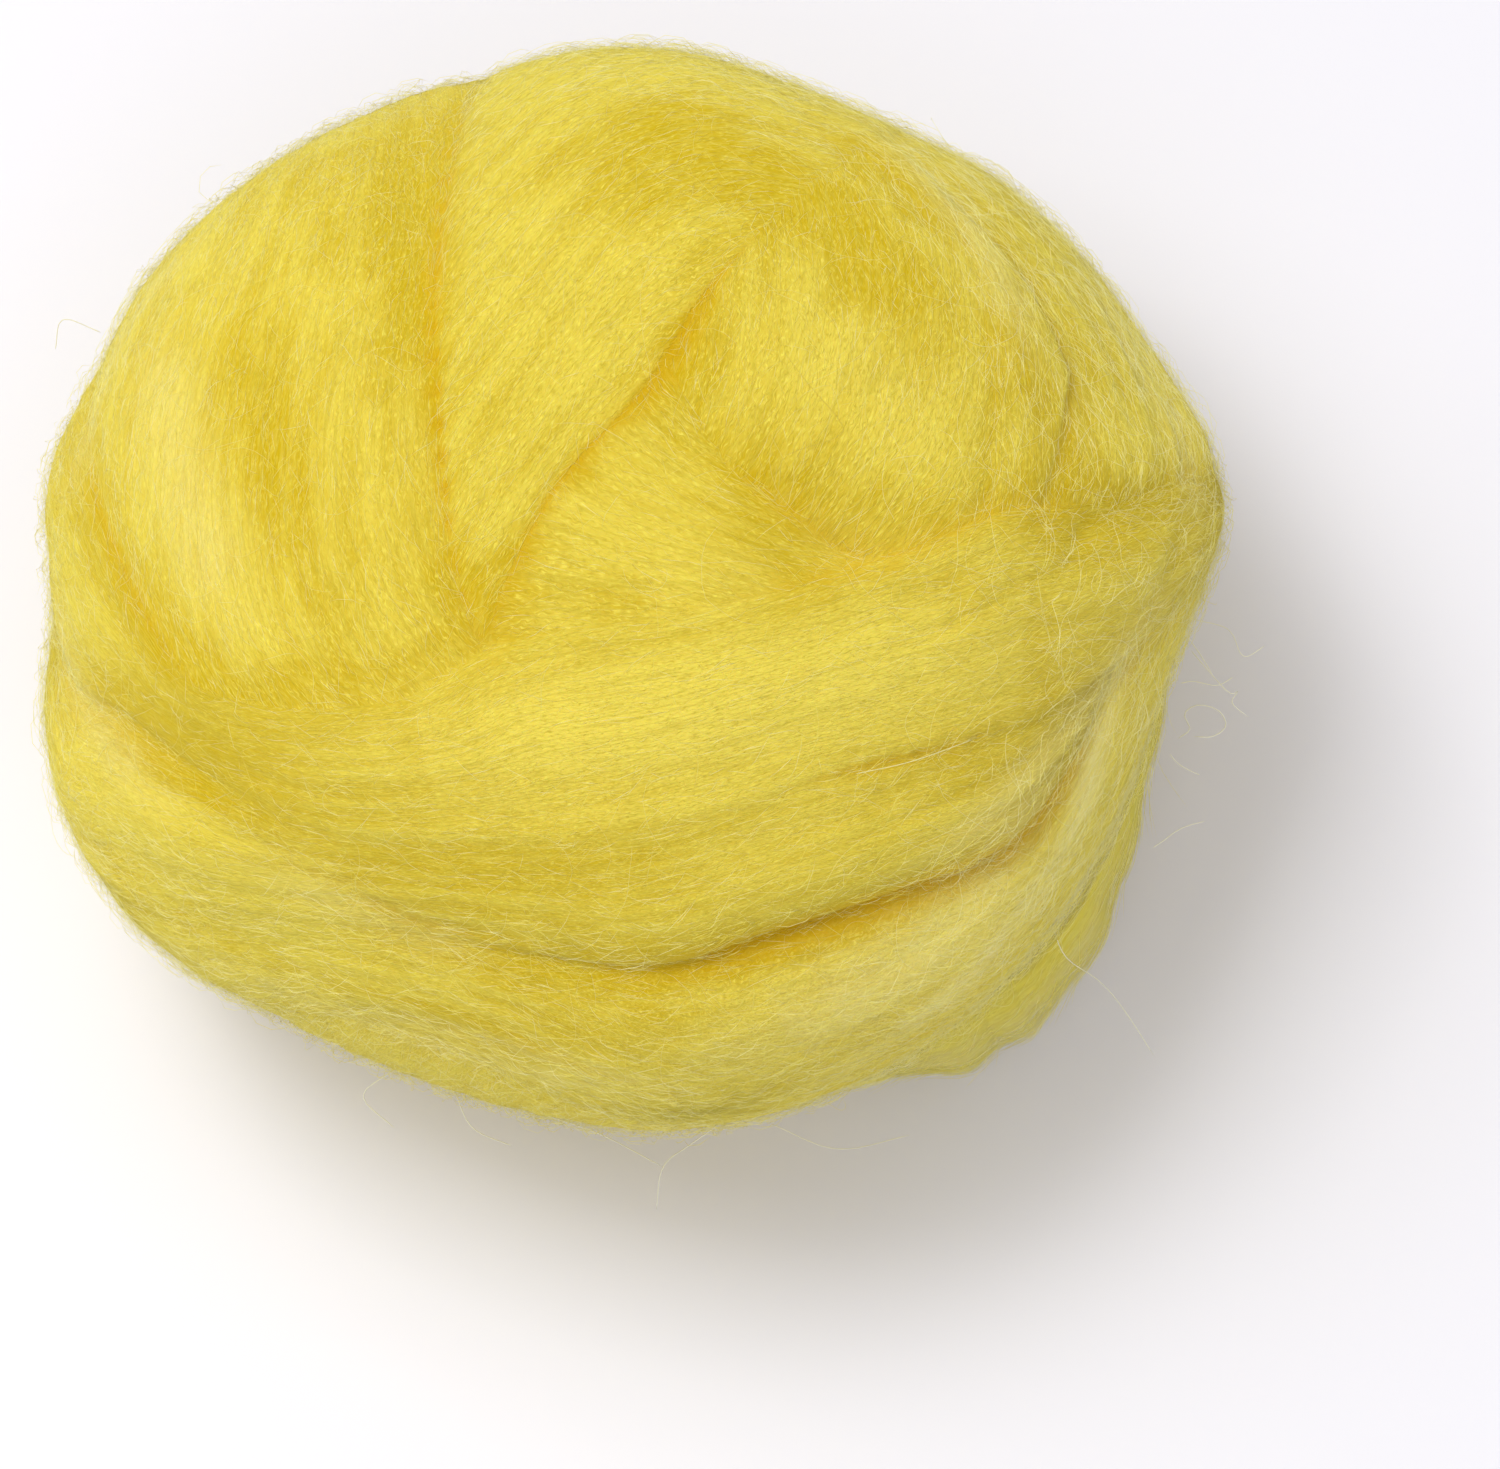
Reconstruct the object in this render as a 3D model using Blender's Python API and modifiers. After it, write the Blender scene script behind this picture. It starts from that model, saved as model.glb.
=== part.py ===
# A ball wound from one length of combed wool, with its thin loose end at the right-hand front.
# Metres, +Z up. The ball rests on Z = 0 and X, Y = 0 is the middle of its box.

import bpy
import math
import bmesh
import numpy as np
from mathutils import Vector
from mathutils.bvhtree import BVHTree

for leftover in list(bpy.data.objects):
    bpy.data.objects.remove(leftover)

MM = 0.001

# The wound body, in mm and degrees.
HALF_WIDE = 87.3        # half its width, left to right
HALF_DEEP = 82.0        # half its depth, front to back
HALF_HIGH = 68.0        # half its height before it settles
SKIN = 1.0              # depth of the outer wraps, taken off the core
SIGHT = 75.5            # the wraps were measured looking down at this angle
SEEN_TALL = 80.5        # half its height as seen along that line of sight
SETTLE = 5.4            # how far its own weight flattens the underside
SETTLE_SOFT = 1.0       # rounding where the flat spot starts
CELLS = 31              # grid cells along one side of the cube the ball starts as

# How the wraps lie over one another, in degrees round the ball.
LAP_SOFT = 3.4          # a lap's edge comes up over this much either side of its line
STEP_RUN = 16.0         # its lip dies away inwards over this
HOLLOW_WIDE = 6.0       # the hollow along a lap
PRESS_WIDE = 3.5        # the wool beside a lap is pressed down over this
PRESS_REACH = (-25, -8)
LEVEL_RUN = (-8, 12)    # where a wrap's level comes up, in the wool that later wraps lie on
PRESS_STEP = 0.5        # how much of the step and of the hollow the wool beside a lap takes
PRESS_HOLLOW = 0.8
UNDER_SHOWS = 0.15      # how much of a lap below shows through a wrap
EDGE_BLEND = 2.0        # where two edges of a wrap meet, their steps blend over this
FRONT = (-0.75, -0.3)   # how far behind the outline the seen wraps end, and the back ones start
BACK = (-0.3, 0.05)

# How a lap's line runs.
RIM = 0.998             # no mark lies nearer the outline than this share of the radius
CURVE_STEPS = (0, 0.25, 0.5, 0.75)
RUN_ON = (2, 90, 3)     # degrees that the line runs on past its ends: from, to, step
RUN_ON_FADE = 40.0      # its step and hollow die away over this
CIRCLE_STEP = 4.0
NEARBY = 0.0006         # how sharply the nearest stretch of a line is picked
OUTLINE_SPREAD = (-6, -3, 0, 3, 6)

# The loose end, in mm and degrees.
TAIL_THICK = 2.2
TAIL_GAP = 0.45         # between it and the ball where it lies closest
TAIL_STEPS = 44
TAIL_ROWS = 9
TAIL_TUCK = -10.0       # how far behind the seen outline its inner edge lies
TAIL_WIDEST = 0.7       # how far down its width it stands out most
TAIL_CURL = 1.5
TAIL_LEAN = 0.6
# Waves in the loose end's outer edge: outwards mm, downwards mm, turn over its length, start
TAIL_WAVES = (
    (0.8, 1.0, 21, 0),
    (0.5, -0.8, 47, 1),
)

WOOL_COLOUR = (0.80, 0.66, 0.09)
TAIL_COLOUR = (0.72, 0.62, 0.16)
WOOL_ROUGHNESS = 0.95

# Edges of the wraps, as seen along the line of sight. Walking along a line, its plus side is on the left.
# right mm, up mm, step mm, hollow mm
LAPS = {
    "girdle_top": (
        (-81, 27.4, 0.5, 0.6),
        (-79.6, 15.5, 0.5, 1.2),
        (-76, 4, 0.3, 2.0),
        (-69, -8, 0.3, 2.2),
        (-62, -15, 0.3, 1.6),
        (-53, -18, 0.4, 1.0),
        (-44, -18.9, 0.5, 0.8),
        (-30, -17, 0.7, 0.8),
        (-20, -11, 1.0, 0.8),
        (-8, -8, 1.0, 0.6),
        (10, -5, 1.2, 0.8),
        (24, -1.6, 1.4, 1.2),
        (33, 1.3, 1.4, 1.2),
        (42, 4.1, 0.8, 0.8),
        (54, 9.3, 0.5, 0.6),
        (68, 11.4, 0.8, 1.6),
        (83.6, 16, 0.6, 1.0),
    ),
    "girdle_bottom": (
        (-85, -8, 1.0, 1.5),
        (-79, -16, 1.4, 2.2),
        (-72, -19.5, 1.2, 2.6),
        (-62, -26, 0.8, 2.6),
        (-54, -30.6, 0.5, 2.4),
        (-45, -35, 0.4, 1.2),
        (-35, -37.5, 0.5, 0.8),
        (-12.6, -38, 0.5, 0.6),
        (2, -36.4, 0.3, 0.4),
        (15.5, -33, 0.3, 0.3),
        (26, -29.5, 0.6, 0.5),
        (39, -26.6, 0.9, 0.9),
        (50, -24.4, 0.8, 0.9),
        (61.4, -21.2, 0.4, 0.5),
        (72, -15.5, 0.2, 0.4),
        (81, -8, 0.2, 0.4),
    ),
    "second_bottom": (
        (-85, -23, 0.2, 0.2),
        (-81, -33, 0.3, 0.4),
        (-74.7, -40, 0.4, 0.8),
        (-64, -44, 0.5, 0.8),
        (-50, -47.5, 0.6, 0.9),
        (-35, -51, 0.8, 1.2),
        (-23, -53.5, 0.8, 1.2),
        (-11, -55.5, 1.2, 1.5),
        (0, -56.6, 2.0, 1.8),
        (10, -55.6, 2.8, 2.2),
        (20, -52.8, 3.2, 2.4),
        (32, -49.6, 3.2, 2.4),
        (42, -46.6, 3.0, 2.2),
        (52, -44, 2.4, 2.0),
        (60, -40, 1.8, 1.6),
        (67, -32.6, 1.0, 1.2),
        (72, -24.4, 0.5, 0.8),
    ),
    "third_bottom": (
        (-80, -47, 0.4, 0.5),
        (-72, -54, 0.8, 1.0),
        (-57, -61.4, 1.0, 1.2),
        (-42, -64.8, 1.0, 1.2),
        (-27, -69, 0.8, 1.0),
        (-12, -76, 0.4, 0.5),
    ),
    "fan_left": (
        (-24.4, 72.5, 1.2, 0.9),
        (-26.6, 63, 1.5, 0.9),
        (-27.7, 52.5, 1.6, 0.8),
        (-28, 40.7, 1.4, 0.7),
        (-27, 27.4, 1.2, 0.6),
        (-26.2, 17.3, 1.2, 0.6),
        (-25, 5.2, 1.0, 0.6),
        (-23, -3.7, 1.0, 0.7),
        (-20.4, -10.4, 1.0, 0.9),
    ),
    "fan_right": (
        (-20, -10, 1.0, 1.0),
        (-17.2, -1.8, 1.4, 1.1),
        (-11.7, 9.6, 1.8, 1.2),
        (-5.2, 18.2, 2.0, 1.3),
        (3, 27, 2.0, 1.3),
        (11.2, 40, 1.6, 1.0),
        (17.8, 47.8, 0.8, 0.6),
        (24.4, 55.2, 0.2, 0.3),
        (31.8, 62.2, 0.1, 0.2),
    ),
    "dome_right": (
        (60, 12.6, 0.3, 0.6),
        (62, 18.2, 0.8, 1.4),
        (64, 25.2, 1.6, 2.0),
        (64.7, 30.6, 1.6, 2.0),
        (62.3, 37.3, 1.2, 1.6),
        (57, 47, 0.8, 1.0),
        (47.7, 56.2, 0.6, 0.8),
        (40, 64.4, 1.0, 1.0),
        (32, 69.6, 0.4, 0.5),
    ),
    "dome_fold": (
        (52, 14, 0.1, 0.2),
        (52.5, 23, 0.6, 0.5),
        (52, 33.3, 0.6, 0.5),
        (50.3, 42, 0.4, 0.4),
        (45, 51, 0.1, 0.2),
    ),
    "dome_low": (
        (4, 33, 0.1, 0.2),
        (8, 27, 0.5, 0.5),
        (11, 21.4, 1.0, 0.8),
        (15, 15.8, 1.3, 0.9),
        (21.6, 11, 1.2, 0.9),
        (28.7, 6.2, 1.0, 1.0),
        (36.3, 2.2, 0.8, 1.0),
        (45, -2, 0.3, 0.4),
    ),
}

# Edges of the wraps at the back and underneath: circles about a pole.
# pole's turn and tilt in degrees, circle's distance from the pole's equator, step mm, hollow mm
CIRCLES = {
    "back_low_top": (75, 66, -8, 1.2, 1.4),
    "back_low_bottom": (75, 66, -37, 1.0, 1.2),
    "back_cross_top": (140, 30, 15, 1.4, 1.4),
    "back_cross_bottom": (140, 30, -16, 1.2, 1.4),
    "under_top": (25, 12, 17, 1.0, 1.0),
    "under_bottom": (25, 12, -15, 1.0, 1.0),
}

# The wraps in the order they were wound.
# edges with the side of each that the wrap is on, level mm, edge rounding degrees, whether it is at the back
WRAPS = (
    ((("dome_right", 1), ("dome_low", 1)), 2.2, 4.0, 0),
    ((("dome_fold", -1), ("dome_right", 1)), 0.4, 3.0, 0),
    ((("fan_left", -1), ("girdle_top", 1)), 1.0, 6.0, 0),
    ((("fan_left", 1), ("fan_right", 1)), 0.8, 2.5, 0),
    ((("third_bottom", 1), ("second_bottom", -1)), 0.8, 5.0, 0),
    ((("girdle_bottom", -1), ("second_bottom", 1)), 1.6, 5.0, 0),
    ((("girdle_top", -1), ("girdle_bottom", 1)), 1.6, 3.5, 0),
    ((("under_top", -1), ("under_bottom", 1)), 1.0, 4.0, 1),
    ((("back_low_top", -1), ("back_low_bottom", 1)), 1.4, 4.0, 1),
    ((("back_cross_top", -1), ("back_cross_bottom", 1)), 1.4, 4.0, 1),
)

# Swellings and hollows that no lap makes.
# right mm, up mm, half-width mm, half-length mm, turn degrees, height mm
SWELLS = (
    (-61, -35.5, 6, 20, -38, 2.0),
    (-33, 56, 5, 18, 95, -1.6),
    (28, 5, 5, 12, 20, -1.2),
    (72, 8, 4, 9, 10, -2.0),
    (38, 66, 5, 12, -40, 2.0),
    (25, -62, 5, 30, 10, 1.0),
)

# The widest line round the ball, as seen: bearing degrees from the right, radius mm
OUTLINE = (
    (0, 84.8),
    (10, 90.6),
    (24.5, 84.7),
    (39, 83.3),
    (47.6, 82.3),
    (54.7, 81.8),
    (62, 78.1),
    (72.8, 77.6),
    (78.7, 79.5),
    (86, 80.2),
    (93.7, 79.5),
    (102.5, 78.4),
    (110.7, 77.3),
    (119, 80.4),
    (126, 81.7),
    (133.5, 82.9),
    (141, 84.2),
    (149, 85.2),
    (156, 85.8),
    (168, 87.3),
    (174, 86.7),
    (181.5, 85.8),
    (189, 88.4),
    (193, 88.9),
    (199, 90.1),
    (205, 90.6),
    (211.5, 90.3),
    (220, 88.5),
    (228, 83.8),
    (237, 81.3),
    (248.5, 79.2),
    (257.6, 79.6),
    (266, 79.8),
    (275, 82.0),
    (283, 80.8),
    (295, 79.8),
    (307, 79.9),
    (325, 79.0),
    (337, 78.9),
    (351, 79.9),
)

# The loose end's outer edge as it goes round: bearing degrees, stand-out mm, drop mm
TAIL = (
    (358, 0, 9),
    (349, 0.8, 20),
    (340, 2.6, 25),
    (330, 5.0, 28),
    (320, 8.2, 29),
    (313, 9.6, 30),
    (306, 7.2, 29),
    (299, 2.6, 27),
    (292, 0.6, 21),
    (286, 0, 10),
)


def unit(vectors):
    return vectors / np.linalg.norm(vectors, axis=-1, keepdims=True)


def ease(low, high, value):
    t = np.clip((value - low) / (high - low), 0, 1)
    return t * t * (3 - 2 * t)


def seen_from_ball(points):
    """Turns directions on the ball into right, up and toward, as looked at along the line of sight."""
    sine, cosine = math.sin(math.radians(SIGHT)), math.cos(math.radians(SIGHT))
    up = points[:, 1] * sine + points[:, 2] * cosine
    toward = points[:, 2] * sine - points[:, 1] * cosine
    return np.stack((points[:, 0], up, toward), 1)


def ball_from_seen(seen):
    sine, cosine = math.sin(math.radians(SIGHT)), math.cos(math.radians(SIGHT))
    forward = seen[:, 1] * sine - seen[:, 2] * cosine
    upward = seen[:, 1] * cosine + seen[:, 2] * sine
    return np.stack((seen[:, 0], forward, upward), 1)


def direction(right, up):
    """The direction on the ball of a place measured in mm on the side that is seen."""
    x, y = right / HALF_WIDE, up / SEEN_TALL
    inwards = min(1, RIM / math.hypot(x, y))
    x, y = x * inwards, y * inwards
    toward = math.sqrt(1 - x * x - y * y)
    return ball_from_seen(np.array(((x, y, toward),)))[0]


def lap_line(marks):
    """A smooth line through the marks, run on at both ends, with its plus side and its depths."""
    knots = np.array([np.append(direction(right, up), depths) for right, up, *depths in marks])
    knots = np.vstack((2 * knots[0] - knots[1], knots, 2 * knots[-1] - knots[-2]))
    steps = []
    for a, b, c, d in zip(knots[:-3], knots[1:-2], knots[2:-1], knots[3:]):
        for t in CURVE_STEPS:
            square = (2 * a - 5 * b + 4 * c - d) * t * t
            cube = (3 * b - a - 3 * c + d) * t ** 3
            steps.append(0.5 * (2 * b + (c - a) * t + square + cube))
    steps.append(knots[-2])
    line = unit(np.array(steps)[:, :3])
    depths = np.clip(np.array(steps)[:, 3:], 0, None)
    turn = np.radians(np.arange(*RUN_ON))[:, None]
    fade = np.exp(-(turn / math.radians(RUN_ON_FADE)) ** 2)
    start = line[0] - line[3]
    start = unit(start - line[0] * (start @ line[0]))
    end = line[-1] - line[-4]
    end = unit(end - line[-1] * (end @ line[-1]))
    before = np.cos(turn) * line[0] + np.sin(turn) * start
    after = np.cos(turn) * line[-1] + np.sin(turn) * end
    depths = np.vstack((depths[0] * fade[::-1], depths, depths[-1] * fade))
    line = np.vstack((before[::-1], line, after))
    return line, unit(np.cross(line, np.gradient(line, axis=0))), depths


def circle_line(turn, tilt, distance, step, hollow):
    """A circle round the ball, with its plus side towards the pole."""
    a, b, d = math.radians(turn), math.radians(tilt), math.radians(distance)
    pole = np.array((math.cos(b) * math.cos(a), math.cos(b) * math.sin(a), math.sin(b)))
    first = unit(np.cross(pole, (0.3, -0.2, 1.0)))
    second = np.cross(pole, first)
    around = np.radians(np.arange(0, 360, CIRCLE_STEP))[:, None]
    flat = np.cos(around) * first + np.sin(around) * second
    line = math.cos(d) * flat + math.sin(d) * pole
    plus = math.cos(d) * pole - math.sin(d) * flat
    return line, plus, np.tile((step, hollow), (len(line), 1))


def beside(line, points):
    """Degrees to the plus side of a line, and the step and hollow of its nearest stretch."""
    places, plus, depths = line
    near = points @ places.T
    weight = np.exp((near - near.max(1, keepdims=True)) / NEARBY)
    weight /= weight.sum(1, keepdims=True)
    away = np.degrees(np.arcsin(np.clip(points @ plus.T, -1, 1)))
    return (weight * away).sum(1), weight @ depths


LINES = {name: lap_line(marks) for name, marks in LAPS.items()}
LINES.update({name: circle_line(*ring) for name, ring in CIRCLES.items()})


def wound_height(points):
    """How far, in mm, the wraps stand out of the core in each direction."""
    seen = seen_from_ball(points)
    front = ease(*FRONT, seen[:, 2])
    back = 1 - ease(*BACK, seen[:, 2])
    found = {name: beside(line, points) for name, line in LINES.items()}
    wide = np.zeros(len(points))
    fine = np.zeros(len(points))
    for edges, level, width, at_back in WRAPS:
        shown = back if at_back else front
        sides = np.array([side * found[name][0] for name, side in edges])
        inside = sides.min(0)
        share = np.exp((inside - sides) / EDGE_BLEND)
        share /= share.sum(0)
        step = 0
        hollow = 0
        for part, (name, _) in zip(share, edges):
            away, depths = found[name]
            step = step + part * depths[:, 0]
            hollow = hollow + depths[:, 1] * np.exp(-np.abs(away) / HOLLOW_WIDE)
        lip = step * ease(-LAP_SOFT, width + LAP_SOFT, inside) * np.exp(-np.clip(inside, 0, None) / STEP_RUN)
        under = (1 - UNDER_SHOWS) * wide + UNDER_SHOWS * fine
        here = under + level * ease(0, LEVEL_RUN[1], inside) + lip - hollow
        pressed = PRESS_STEP * step * np.exp(-(inside / PRESS_WIDE) ** 2) + PRESS_HOLLOW * hollow
        pressed = pressed * ease(*PRESS_REACH, inside)
        cover = ease(-LAP_SOFT, LAP_SOFT, inside) * shown
        fine = (fine - pressed * shown) * (1 - cover) + here * cover
        wide = wide + level * ease(*LEVEL_RUN, inside) * shown
    for right, up, across, along, turn, height in SWELLS:
        a = math.radians(turn)
        dx = seen[:, 0] * HALF_WIDE - right
        dy = seen[:, 1] * SEEN_TALL - up
        run = (dx * math.cos(a) + dy * math.sin(a)) / along
        rise = (dy * math.cos(a) - dx * math.sin(a)) / across
        fine = fine + height * np.exp(-run ** 2 - rise ** 2) * ease(0, 0.2, seen[:, 2])
    return fine


def outline_share(bearings):
    """The outline's radius at each bearing, over that of a plain oval."""
    marks = np.array(OUTLINE)
    turn = np.radians(marks[:, 0])
    oval = 1 / np.hypot(np.cos(turn) / HALF_WIDE, np.sin(turn) / SEEN_TALL)
    share = marks[:, 1] / oval
    smoothed = [np.interp(bearings + turn, marks[:, 0], share, period=360) for turn in OUTLINE_SPREAD]
    return np.mean(smoothed, axis=0)


def ball_points(points):
    """Places on the ball's skin, in mm from its middle."""
    seen = seen_from_ball(points)
    bearings = np.degrees(np.arctan2(seen[:, 1], seen[:, 0]))
    share = 1 + (outline_share(bearings) - 1) * (1 - seen[:, 2] ** 2)
    size = np.array((HALF_WIDE, HALF_DEEP, HALF_HIGH)) - SKIN
    core = points * size * share[:, None]
    placed = core + unit(points / size) * wound_height(points)[:, None]
    floor = SETTLE - HALF_HIGH
    over = placed[:, 2] - floor
    placed[:, 2] = floor + np.where(over > SETTLE_SOFT, over, np.clip((over + SETTLE_SOFT) / 2, 0, None))
    return placed


def wool(name, colour):
    material = bpy.data.materials.new(name)
    material.use_nodes = True
    shader = material.node_tree.nodes["Principled BSDF"]
    shader.inputs["Base Color"].default_value = (*colour, 1)
    shader.inputs["Roughness"].default_value = WOOL_ROUGHNESS
    material.diffuse_color = (*colour, 1)
    return material


collection = bpy.data.collections.new("wool_roving")
bpy.context.scene.collection.children.link(collection)


def into_collection(thing):
    for home in list(thing.users_collection):
        home.objects.unlink(thing)
    collection.objects.link(thing)


# The ball: a gridded cube blown up to a round, then each point moved out to the wraps' skin.
bpy.ops.mesh.primitive_cube_add(size=2)
ball = bpy.context.active_object
ball.name = "wound_ball"
into_collection(ball)
mesh = bmesh.new()
mesh.from_mesh(ball.data)
bmesh.ops.subdivide_edges(mesh, edges=mesh.edges[:], cuts=CELLS - 1, use_grid_fill=True)
grid = np.array([vertex.co[:] for vertex in mesh.verts])
round_points = unit(np.tan(grid * math.pi / 4))
skin_points = ball_points(round_points) * MM
lowest = skin_points[:, 2].min()
for vertex, place in zip(mesh.verts, skin_points):
    vertex.co = place
bmesh.ops.recalc_face_normals(mesh, faces=mesh.faces)
mesh.to_mesh(ball.data)
tree = BVHTree.FromBMesh(mesh)
mesh.free()
ball.data.materials.append(wool("wool", WOOL_COLOUR))


# The loose end: a sheet that lies against the ball below its widest line and stands out lower down.
def tail_place(along, across):
    """A place on the loose end's middle surface, in metres from the ball's middle."""
    marks = np.array(TAIL)
    steps = np.linspace(0, 1, len(TAIL))
    bearing, stand_out, drop = (np.interp(along, steps, column) for column in marks.T)
    turn, tuck = math.radians(bearing), math.radians(TAIL_TUCK)
    outward = (math.cos(turn), math.sin(turn), 0)
    start = (math.cos(turn) * math.cos(tuck), math.sin(turn) * math.cos(tuck), math.sin(tuck))
    outward, start, away = map(Vector, ball_from_seen(np.array((outward, start, (0, 0, -1)))))
    hit, normal, _, _ = tree.ray_cast(Vector(), start)
    root = hit + normal * (TAIL_THICK / 2 + TAIL_GAP) * MM
    for outwards, downwards, turns, begin in TAIL_WAVES:
        wave = math.sin(along * turns + begin) * across
        stand_out += outwards * wave
        drop += downwards * wave
    curl = math.sin(across * math.pi / 2 / TAIL_WIDEST) ** TAIL_CURL
    return root + (outward * (stand_out * curl + TAIL_LEAN * across) + away * drop * across) * MM


bpy.ops.mesh.primitive_grid_add(x_subdivisions=TAIL_STEPS, y_subdivisions=TAIL_ROWS, size=2)
tail = bpy.context.active_object
tail.name = "loose_end"
into_collection(tail)
for vertex in tail.data.vertices:
    vertex.co = tail_place((vertex.co.x + 1) / 2, (vertex.co.y + 1) / 2)
thicken = tail.modifiers.new("thickness", "SOLIDIFY")
thicken.thickness = TAIL_THICK * MM
thicken.offset = 0
tail.data.materials.append(wool("wool_end", TAIL_COLOUR))

# Both pieces are set down on Z = 0 with the middle of their box over the origin.
bpy.context.view_layer.update()
both = np.vstack([[vertex.co[:] for vertex in thing.data.vertices] for thing in (ball, tail)])
middle = (both.min(0) + both.max(0)) / 2
for thing in (ball, tail):
    for vertex in thing.data.vertices:
        vertex.co -= Vector((middle[0], middle[1], lowest))
    thing.data.update()
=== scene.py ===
import math

import bpy
import numpy as np
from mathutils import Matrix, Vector
from mathutils.bvhtree import BVHTree


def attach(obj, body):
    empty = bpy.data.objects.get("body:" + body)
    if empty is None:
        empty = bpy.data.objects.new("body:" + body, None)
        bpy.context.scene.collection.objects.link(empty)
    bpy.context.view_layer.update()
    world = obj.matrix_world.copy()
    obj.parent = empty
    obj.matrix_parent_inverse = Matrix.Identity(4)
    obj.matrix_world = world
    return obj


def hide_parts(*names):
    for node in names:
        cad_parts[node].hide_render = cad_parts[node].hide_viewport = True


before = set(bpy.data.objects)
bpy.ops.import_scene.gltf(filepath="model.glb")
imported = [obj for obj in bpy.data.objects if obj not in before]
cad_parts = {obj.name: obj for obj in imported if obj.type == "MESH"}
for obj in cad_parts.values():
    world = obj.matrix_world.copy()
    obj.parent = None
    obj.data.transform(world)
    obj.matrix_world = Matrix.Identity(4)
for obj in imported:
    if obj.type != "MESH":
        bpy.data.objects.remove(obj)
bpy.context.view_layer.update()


# ---- The wound ball ----
# One length of combed wool top, 35 to 45 mm wide, wound by hand over itself. Each wrap lies on the ones below it
# with a soft lip, and its fibres run along it. Nothing holds it but the fibres' own grip.

MM = 0.001
PART_ORIGIN = (0.6223, -0.4251, -62.6)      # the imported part's origin, in mm from the ball's middle
HALF_WIDE, HALF_DEEP, HALF_HIGH = 87.3, 82.0, 68.0
SKIN = 1.0                                  # mm that the core is smaller all round
SIGHT = math.radians(75.5)                  # the wraps were measured looking down at this angle
SINE, COSINE = math.sin(SIGHT), math.cos(SIGHT)
SEEN_TALL = 80.5                            # half the height as seen along that line of sight
SETTLE, SETTLE_SOFT = 5.4, 1.0              # mm that its own weight flattens the underside
BALL_CUTS = (62, 1)                         # the cube's sides are cut into 126 cells

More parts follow.
